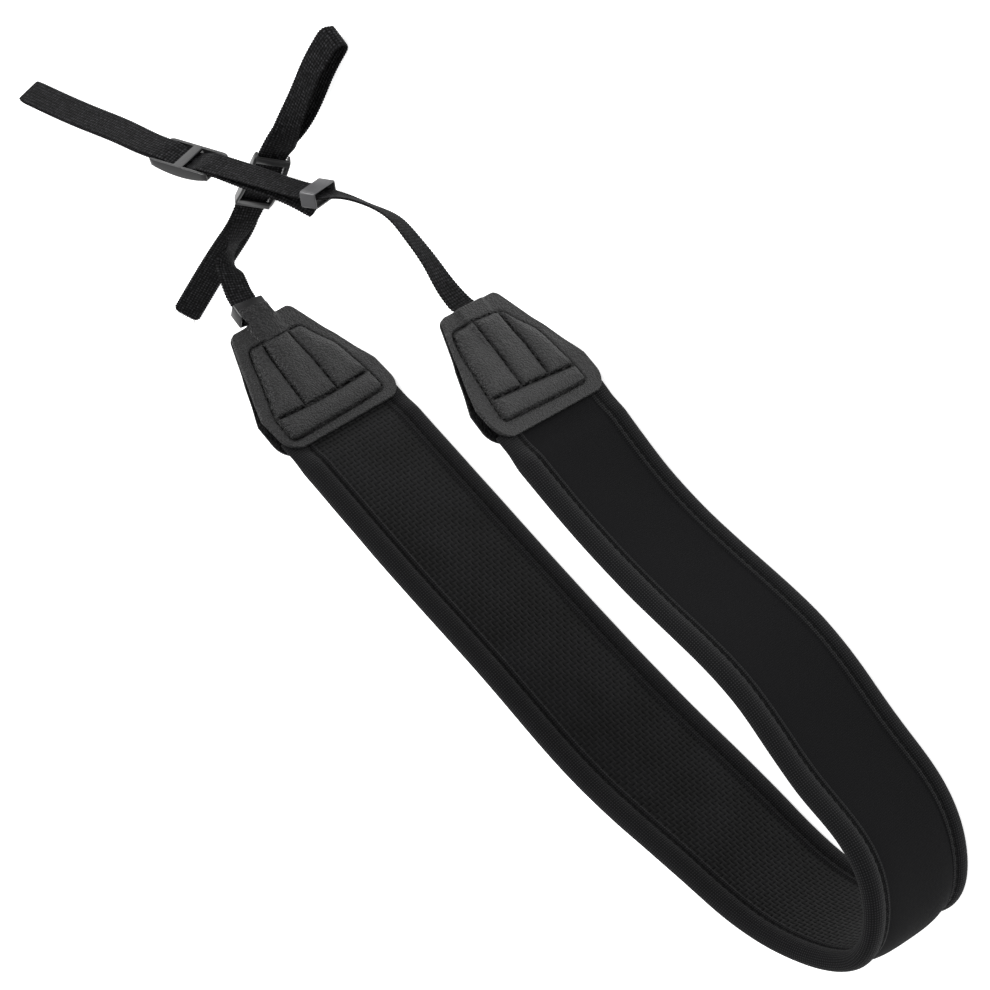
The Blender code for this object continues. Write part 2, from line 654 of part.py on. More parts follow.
def main():
    """Build every piece of the strap."""
    clear_scene()
    make_holder()
    band = Band()
    build_core(band)
    build_grip(band)
    build_binding(band, "top_binding", at_top=True)
    build_binding(band, "bottom_binding", at_top=False)
    for arm, tab, sewn, at_start in (("back_arm", BACK_TAB, BACK_SEWN, True),
                                     ("front_arm", FRONT_TAB, FRONT_SEWN, False)):
        build_tab(band, "outer_tab_" + arm, tab, sewn, at_start, outside=True)
        build_tab(band, "inner_tab_" + arm, tab, sewn, at_start, outside=False)
    front = Webbing(FRONT_LEAD, FRONT_TAIL, FRONT_BUCKLE_ROW, FRONT_KEEPER_ROW, turned_over=False)
    back = Webbing(BACK_LEAD, BACK_TAIL, BACK_BUCKLE_ROW, BACK_KEEPER_ROW, turned_over=True)
    build_keeper("keeper_front_arm", front)
    build_keeper("keeper_back_arm", back)
    build_webbing(band, "webbing_front_arm", front, FRONT_SEWN, at_start=False)
    build_webbing(band, "webbing_back_arm", back, BACK_SEWN, at_start=True)
    build_buckle("buckle_front_arm", front)
    build_buckle("buckle_back_arm", back)


main()
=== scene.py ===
"""Camera neck strap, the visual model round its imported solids.

A neoprene band bent into a U stands on its long edge. Knit tape binds both edges, and two quilted leather
tabs close each end on a narrow webbing, which runs through a keeper and a slide buckle and folds into a
camera loop. Shapes are worked out in millimetres in the plan of the solids and become metres in `to_metres`.
"""
import logging
import math
from dataclasses import dataclass, field
from enum import Enum, IntEnum
from typing import NamedTuple, Sequence

import bpy
import numpy as np
from mathutils import Matrix


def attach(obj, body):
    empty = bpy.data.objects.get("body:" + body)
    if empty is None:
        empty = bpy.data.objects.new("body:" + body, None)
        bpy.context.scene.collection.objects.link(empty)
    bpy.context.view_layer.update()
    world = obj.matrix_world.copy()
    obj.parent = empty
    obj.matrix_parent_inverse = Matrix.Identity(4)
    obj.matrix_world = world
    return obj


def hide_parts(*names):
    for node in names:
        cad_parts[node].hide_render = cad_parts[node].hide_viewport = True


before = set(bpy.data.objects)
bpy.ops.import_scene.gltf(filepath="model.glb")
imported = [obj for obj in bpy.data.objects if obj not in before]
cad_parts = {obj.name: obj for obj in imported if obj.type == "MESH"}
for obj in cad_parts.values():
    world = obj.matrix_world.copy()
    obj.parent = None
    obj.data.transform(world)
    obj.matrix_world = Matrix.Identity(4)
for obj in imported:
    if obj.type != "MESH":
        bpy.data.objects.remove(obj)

LOG = logging.getLogger("neck_strap")
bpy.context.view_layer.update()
MM = 0.001
PLAN_CENTRE = (13.20, -30.21)
Array = np.ndarray

RIPPLE_LENGTHS = (0.7, 1.5)     # shortest and longest wave, as shares of the usual length
RIPPLE_GAIN = 1.6               # makes up for sines that cancel each other
MOULDED_SHARP_DEG = 35.0        # edges of a bevelled moulding stay crisp above this angle


class Seed(IntEnum):
    """The seed of each uneven surface, so that it comes out the same every time."""

    TOP_TAPE = 3
    BOTTOM_TAPE = 4
    PAD = 5
    TONGUE = 8
    GRIP = 9
    TAB_CREASES = 21
    FRAY = 31


# ---------------------------------------------------------------- numbers and curves

def unit(vectors: Array) -> Array:
    """Each vector scaled to length one."""
    return vectors / np.linalg.norm(vectors, axis=-1, keepdims=True)


def ease(x: Array | float, low: float, high: float) -> Array:
    """0 below low, 1 above high, and 3t^2 - 2t^3 between."""
    t = np.clip((np.asarray(x, float) - low) / (high - low), 0.0, 1.0)
    return t * t * (3.0 - 2.0 * t)


def spline(rows: Array, at: Array, axes: int) -> Array:
    """Natural cubic spline through rows, with chord lengths of the first columns as its knots.

    Args:
        rows: one row of values per knot.
        at: row numbers to read, such as 1.5 for halfway from row 1 to row 2.
        axes: how many leading columns are a position.

    Returns:
        One row of values for each number in at.
    """
    rows = np.asarray(rows, float)
    chord = np.linalg.norm(np.diff(rows[:, :axes], axis=0), axis=1)
    count = len(rows)
    inner = np.arange(1, count - 1)
    system = np.eye(count)
    system[inner, inner - 1] = chord[:-1]
    system[inner, inner] = 2.0 * (chord[:-1] + chord[1:])
    system[inner, inner + 1] = chord[1:]
    slope = np.diff(rows, axis=0) / chord[:, None]
    right = np.zeros_like(rows)
    right[1:-1] = 6.0 * np.diff(slope, axis=0)
    bend = np.linalg.solve(system, right)
    i = np.clip(np.floor(at).astype(int), 0, count - 2)
    span = chord[i][:, None]
    b = (np.asarray(at) - i)[:, None]
    a = 1.0 - b
    curved = ((a ** 3 - a) * bend[i] + (b ** 3 - b) * bend[i + 1]) * span ** 2 / 6.0
    return a * rows[i] + b * rows[i + 1] + curved


def ripple(u: Array, v: Array, wavelength: float, seed: int, waves: int = 7) -> Array:
    """Soft uneven waves from -1 to 1: the mean of plane sines with seeded directions, lengths and phases.

    Args:
        u: first coordinate, in millimetres.
        v: second coordinate, in millimetres.
        wavelength: the usual length of a wave.
        seed: which waves are drawn.
        waves: how many sines are added up.

    Returns:
        One value for each place.
    """
    draw = np.random.default_rng(seed)
    turn = draw.uniform(0.0, math.pi, waves)
    length = wavelength * draw.uniform(*RIPPLE_LENGTHS, waves)
    phase = draw.uniform(0.0, 2.0 * math.pi, waves)
    total = 0.0
    for angle, period, start in zip(turn, length, phase):
        run = u * math.cos(angle) + v * math.sin(angle)
        total = total + np.sin(2.0 * math.pi * run / period + start)
    return total / waves * RIPPLE_GAIN


def rounded_off(distance: Array, radius: float) -> Array:
    """How far a rounded corner falls short, at a distance from its end: r - sqrt(r^2 - (r - distance)^2)."""
    t = np.clip(1.0 - np.asarray(distance, float) / radius, 0.0, 1.0)
    return radius * (1.0 - np.sqrt(1.0 - t ** 2))


def closer_at_ends(count: int, crowding: float = 0.35) -> Array:
    """Numbers from -1 to 1, closer together towards both ends: (1 - c) t + c sin(90 t)."""
    even = np.linspace(-1.0, 1.0, count)
    return (1.0 - crowding) * even + crowding * np.sin(even * math.pi / 2.0)


def distances(line: Array) -> Array:
    """How far along a line of points each point lies, from 0 at its first."""
    return np.concatenate([[0.0], np.cumsum(np.linalg.norm(np.diff(line, axis=0), axis=1))])


def to_metres(points: Array) -> Array:
    """Plan millimetres to metres in the frame of the solids."""
    return (points - np.array([PLAN_CENTRE[0], PLAN_CENTRE[1], 0.0])) * MM


# ---------------------------------------------------------------- meshes

class Surface(NamedTuple):
    """Points in plan millimetres and the faces between them.

    Each point also has a flat (u, v) in millimetres, and how hollow its place is, from 0, proud, to 1, deep.
    """

    points: Array
    faces: Array
    flat: Array
    hollow: Array
    caps: tuple[Array, ...] = ()


def grid_faces(rows: int, columns: int, around: bool = False) -> Array:
    """Four-sided faces between neighbours of a grid.

    Args:
        rows: how many rows of points the grid has.
        columns: how many points are in a row.
        around: joins the last column to the first.

    Returns:
        Four point numbers for each face.
    """
    i = np.arange(rows - 1)[:, None]
    j = np.arange(columns if around else columns - 1)[None, :]
    k = (j + 1) % columns
    faces = np.stack(np.broadcast_arrays(i * columns + j, (i + 1) * columns + j,
                                         (i + 1) * columns + k, i * columns + k), axis=-1)
    return faces.reshape(-1, 4)


def thick_sheet(front: Array, back: Array, flat: Array, hollow: Array | float = 0.0) -> Surface:
    """A closed sheet between two grids of the same size, walled round the rim.

    Args:
        front: grid of points, (rows, columns, 3).
        back: grid of points of the same size.
        flat: the (u, v) of each grid point, (rows, columns, 2), used on both sides.
        hollow: how hollow each grid point is, used on both sides.

    Returns:
        The closed surface.
    """
    rows, columns = front.shape[:2]
    count = rows * columns
    number = np.arange(count).reshape(rows, columns)
    rim = np.concatenate([number[:-1, 0], number[-1, :-1], number[:0:-1, -1], number[0, :0:-1]])
    onward = np.roll(rim, -1)
    wall = np.stack([rim, rim + count, onward + count, onward], axis=-1)
    near = grid_faces(rows, columns)
    far = near[:, ::-1] + count
    points = np.concatenate([front.reshape(-1, 3), back.reshape(-1, 3)])
    two = np.concatenate([flat.reshape(-1, 2), flat.reshape(-1, 2)])
    depth = np.tile(np.broadcast_to(hollow, (rows, columns)).ravel(), 2)
    return Surface(points, np.concatenate([near, far, wall]), two, depth)


def ring_tube(rings: Array, flat: Array, ends_meet: bool, hollow: Array | float = 0.0) -> Surface:
    """A tube through rings of points.

    Args:
        rings: (count, around, 3) points.
        flat: the (u, v) of each point, (count, around, 2).
        ends_meet: joins the last ring to the first, as on a sleeve with a thick wall; otherwise each end is
            closed with one flat cap.
        hollow: how hollow each point is.

    Returns:
        The closed surface.
    """
    count, around = rings.shape[:2]
    faces = grid_faces(count, around, around=True)
    depth = np.broadcast_to(hollow, (count, around)).ravel()
    if ends_meet:
        j = np.arange(around)
        k = (j + 1) % around
        base = (count - 1) * around
        faces = np.concatenate([faces, np.stack([base + j, j, k, base + k], axis=-1)])
        return Surface(rings.reshape(-1, 3), faces, flat.reshape(-1, 2), depth)
    first = np.arange(around)
    caps = (first, first[::-1] + (count - 1) * around)
    return Surface(rings.reshape(-1, 3), faces, flat.reshape(-1, 2), depth, caps)


def joined(surfaces: Sequence[Surface]) -> Surface:
    """Several surfaces as one.

    Args:
        surfaces: the surfaces, each with its own points and caps.

    Returns:
        One surface with all their points, faces and caps.
    """
    base = np.cumsum([0] + [len(s.points) for s in surfaces[:-1]])
    faces = np.concatenate([s.faces + b for s, b in zip(surfaces, base)])
    caps = tuple(cap + b for s, b in zip(surfaces, base) for cap in s.caps)
    return Surface(np.concatenate([s.points for s in surfaces]), faces,
                   np.concatenate([s.flat for s in surfaces]),
                   np.concatenate([s.hollow for s in surfaces]), caps)


def facing_out(surface: Surface) -> list[list[int]]:
    """Every face and cap, turned round if the volume they close comes out negative.

    Args:
        surface: a closed surface.

    Returns:
        The point numbers of each face, so that every face looks outwards.
    """
    centred = surface.points - surface.points.mean(axis=0)
    a, b, c, d = (centred[surface.faces[:, k]] for k in range(4))
    volume = (a * (np.cross(b, c) + np.cross(c, d))).sum()
    turn = -1 if volume < 0.0 else 1
    return surface.faces[:, ::turn].tolist() + [cap[::turn].tolist() for cap in surface.caps]


def make_piece(name: str, surface: Surface, material: bpy.types.Material,
               sharp_deg: float = 60.0) -> bpy.types.Object:
    """Makes one smooth-shaded object at the origin, with its place in its mesh.

    Args:
        name: the piece's name.
        surface: its closed surface; the flat places become its UV map, and the hollows an attribute.
        material: its finish.
        sharp_deg: edges that bend more than this stay sharp.

    Returns:
        The new object.
    """
    faces = facing_out(surface)
    mesh = bpy.data.meshes.new(name)
    mesh.from_pydata(to_metres(surface.points).tolist(), [], faces)
    layer = mesh.uv_layers.new(name="flat")
    corner = np.empty(len(mesh.loops), np.int32)
    mesh.loops.foreach_get("vertex_index", corner)
    layer.data.foreach_set("uv", (surface.flat[corner] * MM).astype(np.float32).ravel())
    hollow = mesh.attributes.new(name="hollow", type="FLOAT", domain="POINT")
    hollow.data.foreach_set("value", surface.hollow.astype(np.float32))
    mesh.materials.append(material)
    mesh.shade_smooth()
    mesh.set_sharp_from_angle(angle=math.radians(sharp_deg))
    piece = bpy.data.objects.new(name, mesh)
    bpy.context.collection.objects.link(piece)
    return piece


def place_piece(piece: bpy.types.Object, nodes: Sequence[str] = ()) -> bpy.types.Object:
    """Rides the piece on the strap's one body, and stands it for its solids.

    Args:
        piece: the finished piece.
        nodes: the solids that the piece stands for.

    Returns:
        The same piece.
    """
    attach(piece, "root")
    if nodes:
        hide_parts(*nodes)
    LOG.info("%s: %d faces", piece.name, len(piece.data.polygons))
    return piece


# ---------------------------------------------------------------- finishes

def linear(hex_colour: str) -> tuple[float, float, float, float]:
    """An sRGB hex colour on the linear scale: c / 12.92 when dark, else ((c + 0.055) / 1.055) ^ 2.4.

    Args:
        hex_colour: a colour such as #1a2b3c.

    Returns:
        Linear red, green, blue and alpha.
    """
    srgb = [int(hex_colour[k:k + 2], 16) / 255.0 for k in (1, 3, 5)]
    red, green, blue = (c / 12.92 if c <= 0.04045 else ((c + 0.055) / 1.055) ** 2.4 for c in srgb)
    return red, green, blue, 1.0


def add_node(tree: bpy.types.NodeTree, kind: str, settings: dict | None = None,
             links: dict | None = None) -> bpy.types.Node:
    """Adds one node to a tree.

    Args:
        tree: the material's node tree.
        kind: the node's type name, such as ShaderNodeMath.
        settings: attribute names, or input names or numbers, and their values.
        links: input names or numbers, and the output sockets that feed them.

    Returns:
        The new node.
    """
    made = tree.nodes.new(kind)
    for key, value in (settings or {}).items():
        if isinstance(key, str) and hasattr(made, key):
            setattr(made, key, value)
        else:
            made.inputs[key].default_value = value
    for key, socket in (links or {}).items():
        tree.links.new(socket, made.inputs[key])
    return made


WAVE_TURNS = 20.0               # a Wave texture's bands are sin(20 x scale)


def wave_scale(pitch_mm: float) -> float:
    """The scale that makes a Wave texture on metres repeat every pitch_mm."""
    return 2.0 * math.pi / (WAVE_TURNS * pitch_mm * MM)


def bands(tree: bpy.types.NodeTree, way: str, pitch_mm: float,
          vector: bpy.types.NodeSocket) -> bpy.types.NodeSocket:
    """Even sine bands along one direction of the given coordinates."""
    return add_node(tree, "ShaderNodeTexWave", {"wave_type": "BANDS", "bands_direction": way,
                                                "Scale": wave_scale(pitch_mm), "Distortion": 0.0},
                    {"Vector": vector}).outputs["Fac"]


@dataclass(frozen=True)
class Finish:
    """What every finish has: colour, gloss, a sheen of loose fibre, and how much painted shade its hollows
    get.
    """

    name: str
    colour: str
    roughness: float
    ior: float = 1.45
    specular: float = 0.5
    sheen: float = 0.0
    sheen_roughness: float = 0.45
    painted_hollow_shade: float = 0.0
    glow: float = 0.0

    def relief(self, tree: bpy.types.NodeTree) -> tuple[bpy.types.NodeSocket | None, float, float]:
        """The height pattern, its strength and its depth in millimetres; none on a plain finish."""
        return None, 0.0, 0.0

    def tint(self, tree: bpy.types.NodeTree) -> bpy.types.NodeSocket | None:
        """The colour pattern; none where the colour is even."""
        return None

    def material(self) -> bpy.types.Material:
        """The node material, made once for each name.

        Returns:
            The material, whose patterns reach its Base Color and Normal only.
        """
        found = bpy.data.materials.get(self.name)
        if found is not None:
            return found
        made = bpy.data.materials.new(self.name)
        made.use_nodes = True
        tree = made.node_tree
        shader = tree.nodes["Principled BSDF"]
        shader.inputs["Base Color"].default_value = linear(self.colour)
        shader.inputs["Roughness"].default_value = self.roughness
        shader.inputs["IOR"].default_value = self.ior
        shader.inputs["Specular IOR Level"].default_value = self.specular
        shader.inputs["Sheen Weight"].default_value = self.sheen
        shader.inputs["Sheen Roughness"].default_value = self.sheen_roughness
        shader.inputs["Emission Strength"].default_value = self.glow
        colour = self.tint(tree)
        # Painted shade: a patterned finish's colour is darkened in its hollows.
        if colour is not None:
            tree.links.new(paint_shade_in_hollows(tree, colour, self.painted_hollow_shade), shader.inputs["Base Color"])
        height, strength, depth = self.relief(tree)
        if height is not None:
            bump = add_node(tree, "ShaderNodeBump", {"Strength": strength, "Distance": depth * MM},
                            {"Height": height})
            tree.links.new(bump.outputs["Normal"], shader.inputs["Normal"])
        return made


def object_place(tree: bpy.types.NodeTree) -> bpy.types.NodeSocket:
    """The place on the object, in metres."""
    return add_node(tree, "ShaderNodeTexCoord").outputs["Object"]


def flat_place(tree: bpy.types.NodeTree) -> bpy.types.NodeSocket:
    """The place on the cloth laid flat, in metres."""
    return add_node(tree, "ShaderNodeUVMap", {"uv_map": "flat"}).outputs["UV"]


def speckle(tree: bpy.types.NodeTree, size_mm: float, detail: float) -> bpy.types.NodeSocket:
    """Soft random grains of about size_mm."""
    return add_node(tree, "ShaderNodeTexNoise", {"Scale": 1.0 / (size_mm * MM), "Detail": detail},
                    {"Vector": object_place(tree)}).outputs["Fac"]


def blend(tree: bpy.types.NodeTree, share: bpy.types.NodeSocket, first: bpy.types.NodeSocket | str,
          second: bpy.types.NodeSocket | str) -> bpy.types.NodeSocket:
    """A mix of two colours, each a socket or a hex value.

    Args:
        tree: the material's node tree.
        share: how much of the second colour there is.
        first: the colour at a share of 0.
        second: the colour at a share of 1.

    Returns:
        The mixed colour.
    """
    mix = add_node(tree, "ShaderNodeMix", {"data_type": "RGBA"}, {0: share})
    sides = [socket for socket in mix.inputs if socket.type == "RGBA"]
    for side, colour in zip(sides, (first, second)):
        if isinstance(colour, str):
            side.default_value = linear(colour)
        else:
            tree.links.new(colour, side)
    return next(socket for socket in mix.outputs if socket.type == "RGBA")


def paint_shade_in_hollows(tree: bpy.types.NodeTree, colour: bpy.types.NodeSocket,
                  painted_hollow_shade: float) -> bpy.types.NodeSocket:
    """Painted shade: the colour made darker where the surface is hollow, where shade would fall.

    Args:
        tree: the material's node tree.
        colour: the colour on the flat.
        painted_hollow_shade: how much of it the deepest hollow loses.

    Returns:
        The shaded colour.
    """
    depth = add_node(tree, "ShaderNodeAttribute", {"attribute_name": "hollow"}).outputs["Fac"]
    share = add_node(tree, "ShaderNodeMath", {"operation": "MULTIPLY", 1: painted_hollow_shade}, {0: depth}).outputs[0]
    return blend(tree, share, colour, "#000000")


def two_tones(tree: bpy.types.NodeTree, factor: bpy.types.NodeSocket, dark: str, light: str,
              low: float = 0.3, high: float = 0.7) -> bpy.types.NodeSocket:
    """A colour that goes from dark to light as the factor goes from low to high."""
    share = add_node(tree, "ShaderNodeMapRange", {1: low, 2: high}, {0: factor}).outputs[0]
    return blend(tree, share, dark, light)


@dataclass(frozen=True)
class KnitCloth(Finish):
    """Warp-knit polyester: loops in rows, seen as fine ribs with dots along them."""

    light: str = "#2a2a2b"
    wale_mm: float = 0.75
    course_mm: float = 0.75
    depth_mm: float = 0.12
    fibre_mm: float = 0.5

    def loops(self, tree: bpy.types.NodeTree) -> bpy.types.NodeSocket:
        """Loop tops: one set of bands times the other.

        Args:
            tree: the material's node tree.

        Returns:
            1 on each loop's top, and 0 between the loops.
        """
        flat = flat_place(tree)
        across = bands(tree, "Y", self.wale_mm, flat)
        along = bands(tree, "X", self.course_mm, flat)
        return add_node(tree, "ShaderNodeMath", {"operation": "MULTIPLY"}, {0: across, 1: along}).outputs[0]

    def relief(self, tree: bpy.types.NodeTree) -> tuple[bpy.types.NodeSocket | None, float, float]:
        """Loop tops, roughened by loose fibre.

        Args:
            tree: the material's node tree.

        Returns:
            The height pattern, its strength and its depth in millimetres.
        """
        fibre = speckle(tree, self.fibre_mm, detail=2.0)
        height = add_node(tree, "ShaderNodeMath", {"operation": "ADD"}, {0: self.loops(tree), 1: fibre})
        return height.outputs[0], 1.0, self.depth_mm

    def tint(self, tree: bpy.types.NodeTree) -> bpy.types.NodeSocket | None:
        """Loop tops catch a little more light than the gaps between them."""
        return two_tones(tree, self.loops(tree), self.colour, self.light, low=0.2, high=1.0)


@dataclass(frozen=True)
class GripRubber(Finish):
    """Embossed rubber skin on the neck side: the emboss is in the mesh, and this adds its orange peel."""

    light: str = "#151516"
    peel_mm: float = 0.7
    peel_strength: float = 0.5
    peel_depth_mm: float = 0.08
    rubbed_mm: float = 14.0

    def relief(self, tree: bpy.types.NodeTree) -> tuple[bpy.types.NodeSocket | None, float, float]:
        """A fine uneven skin."""
        return speckle(tree, self.peel_mm, detail=2.0), self.peel_strength, self.peel_depth_mm

    def tint(self, tree: bpy.types.NodeTree) -> bpy.types.NodeSocket | None:
        """Broad soft patches where the skin is rubbed."""
        return two_tones(tree, speckle(tree, self.rubbed_mm, detail=2.0), self.colour, self.light)


@dataclass(frozen=True)
class GrainedLeather(Finish):
    """Embossed-grain leather: small rounded pebbles, with painted shade in the creases between them."""

    light: str = "#2c2c2d"
    pebble_mm: float = 0.85
    pebble_depth_mm: float = 0.42
    pebble_softness: float = 0.35
    stir_mm: float = 1.6
    stir_reach_mm: float = 0.8

    def pebbles(self, tree: bpy.types.NodeTree) -> bpy.types.NodeSocket:
        """Cells of pebble_mm, stirred by a wider noise so that the pebbles aren't even.

        Args:
            tree: the material's node tree.

        Returns:
            The distance from each pebble's middle, as a share of its size.
        """
        place = object_place(tree)
        stir = add_node(tree, "ShaderNodeTexNoise", {"Scale": 1.0 / (self.stir_mm * MM), "Detail": 2.0},
                        {"Vector": place})
        shift = add_node(tree, "ShaderNodeVectorMath",
                         {"operation": "MULTIPLY_ADD", 1: (self.stir_reach_mm * MM,) * 3},
                         {0: stir.outputs["Color"], 2: place})
        cells = add_node(tree, "ShaderNodeTexVoronoi",
                         {"feature": "SMOOTH_F1", "Scale": 1.0 / (self.pebble_mm * MM),
                          "Smoothness": self.pebble_softness},
                         {"Vector": shift.outputs[0]})
        return cells.outputs["Distance"]

    def relief(self, tree: bpy.types.NodeTree) -> tuple[bpy.types.NodeSocket | None, float, float]:
        """Pebbles stand above their creases."""
        raised = add_node(tree, "ShaderNodeMath", {"operation": "SUBTRACT", 0: 1.0},
                          {1: self.pebbles(tree)}).outputs[0]
        return raised, 1.0, self.pebble_depth_mm

    def tint(self, tree: bpy.types.NodeTree) -> bpy.types.NodeSocket | None:
        """Painted shade: creases are darker than the pebbles' tops."""
        return two_tones(tree, self.pebbles(tree), self.light, self.colour, low=0.2, high=0.6)


@dataclass(frozen=True)
class WovenWebbing(Finish):
    """Plain-woven filament webbing: the weave is in the mesh, and this adds loose fibre and painted glints.
    """

    light: str = "#2e2e2f"
    fibre_mm: float = 0.4
    fibre_strength: float = 0.8
    fibre_depth_mm: float = 0.12
    glint_mm: float = 0.9

    def relief(self, tree: bpy.types.NodeTree) -> tuple[bpy.types.NodeSocket | None, float, float]:
        """Loose filament across the threads."""
        return speckle(tree, self.fibre_mm, detail=3.0), self.fibre_strength, self.fibre_depth_mm

    def tint(self, tree: bpy.types.NodeTree) -> bpy.types.NodeSocket | None:
        """Painted glints of filament that lies on top; what is between them stays dark."""
        glints = speckle(tree, self.glint_mm, detail=3.0)
        return two_tones(tree, glints, self.colour, self.light, low=0.42, high=0.68)


@dataclass(frozen=True)
class MouldedPlastic(Finish):
    """Injection-moulded acetal with a satin skin: a soft broad highlight and faint flow marks."""

    light: str = "#48484a"
    skin_mm: float = 0.6
    skin_strength: float = 0.25
    skin_depth_mm: float = 0.03
    cloud_mm: float = 9.0

    def relief(self, tree: bpy.types.NodeTree) -> tuple[bpy.types.NodeSocket | None, float, float]:
        """The spark-eroded mould's fine texture."""
        return speckle(tree, self.skin_mm, detail=3.0), self.skin_strength, self.skin_depth_mm

    def tint(self, tree: bpy.types.NodeTree) -> bpy.types.NodeSocket | None:
        """Slightly uneven pigment."""
        clouds = speckle(tree, self.cloud_mm, detail=2.0)
        return two_tones(tree, clouds, self.colour, self.light, low=0.25, high=0.75)


# Jersey-faced neoprene: even and nearly matt. Its 0.4 mm knit is drawn at 0.8 mm so that it still shows.
JERSEY = KnitCloth("jersey_faced_neoprene", "#0f0f10", roughness=0.75, ior=1.38, specular=0.07, painted_hollow_shade=0.6,
                   light="#151516", wale_mm=0.8, course_mm=0.8, depth_mm=0.05)
# Knit binding tape: fuzzier and deeper, its 0.5 mm loops drawn at 0.9 mm so that they still show.
# Painted shade darkens its stitched groove.
BINDING_KNIT = KnitCloth("knit_binding_tape", "#101011", roughness=0.8, ior=1.38, specular=0.10, sheen=0.05,
                         painted_hollow_shade=0.5, light="#2c2c2d", wale_mm=0.9, course_mm=0.9, depth_mm=0.2)
# Embossed rubber: slightly smoother than the cloth, so the emboss shows as soft glints.
# Painted shade darkens the emboss's grooves.
GRIP = GripRubber("embossed_grip_rubber", "#0e0e0e", roughness=0.5, ior=1.42, specular=0.11, painted_hollow_shade=0.85,
                  light="#151516")
# Full-grain leather with a pigment coat: softly shiny; painted shade darkens its grain's creases and seams.
LEATHER = GrainedLeather("pebbled_leather", "#090909", roughness=0.45, ior=1.45, specular=0.36, painted_hollow_shade=0.9,
                         light="#242425", pebble_mm=0.68)
# The same leather where it is pulled over a keeper: its grain is stretched coarser and its pigment thinner.
STRETCHED_LEATHER = GrainedLeather("stretched_leather", "#09090a", roughness=0.45, ior=1.45, specular=0.32,
                                   painted_hollow_shade=0.85, light="#1e1e1f", pebble_mm=0.8)
# Polypropylene webbing: painted shade between its threads, painted glints on them. Its weave is in the mesh,
# where the real 0.8 mm threads are drawn at 1.2 to 1.3 mm so that they still show.
WEBBING = WovenWebbing("woven_polypropylene", "#141415", roughness=0.65, ior=1.45, specular=0.07, painted_hollow_shade=1.0,
                       light="#38383a")
# Acetal for the front arm's keeper: satin, and painted mid grey as painted light on its broad faces.
KEEPER_ACETAL_PAINTED_LIGHTER = MouldedPlastic("satin_acetal_painted_lighter", "#343435", roughness=0.36, ior=1.48, specular=0.5,
                                light="#424244")
# Acetal buckles and the back arm's keeper: the moulding's own black, so that only their rims are light.
BUCKLE_PLASTIC = MouldedPlastic("black_acetal", "#0e0e0f", roughness=0.32, ior=1.48, specular=0.45,
                                light="#171718")
# Translucent white acrylic sweep, lit softly from below, so that the strap throws hardly any shadow.
WHITE_SWEEP = Finish("lit_acrylic_sweep", "#fafafa", roughness=0.9, ior=1.3, specular=0.1, glow=0.7)
# Bonded polyester thread: black, with a hard little shine along each stitch.
THREAD = Finish("bonded_polyester_thread", "#060606", roughness=0.5, ior=1.5, specular=0.3)


# ---------------------------------------------------------------- the band's route

class BandRow(NamedTuple):
    """One place on the band's foot line; lean tips the band's top outwards."""

    x: float
    y: float
    lean_deg: float


BAND_ROUTE = (
    BandRow(105.6, -5.1, 6.0),
    BandRow(48.0, -1.7, 4.2),
    BandRow(-7.1, 0.9, 5.4),
    BandRow(-59.0, 3.0, 5.4),
    BandRow(-108.0, 2.9, 8.4),
    BandRow(-154.9, 1.5, 3.8),
    BandRow(-196.2, -2.5, -1.0),
    BandRow(-225.0, -27.2, -2.2),
    BandRow(-205.3, -56.4, 3.0),
    BandRow(-172.8, -65.8, 1.2),
    BandRow(-134.0, -73.5, 2.0),
    BandRow(-94.0, -71.7, 3.4),
    BandRow(-53.0, -70.7, 4.6),
    BandRow(-12.0, -78.6, 1.2),
    BandRow(36.0, -85.7, -1.0),
)


LEAN_COLUMN = 2                 # the column of BandRow that isn't a place


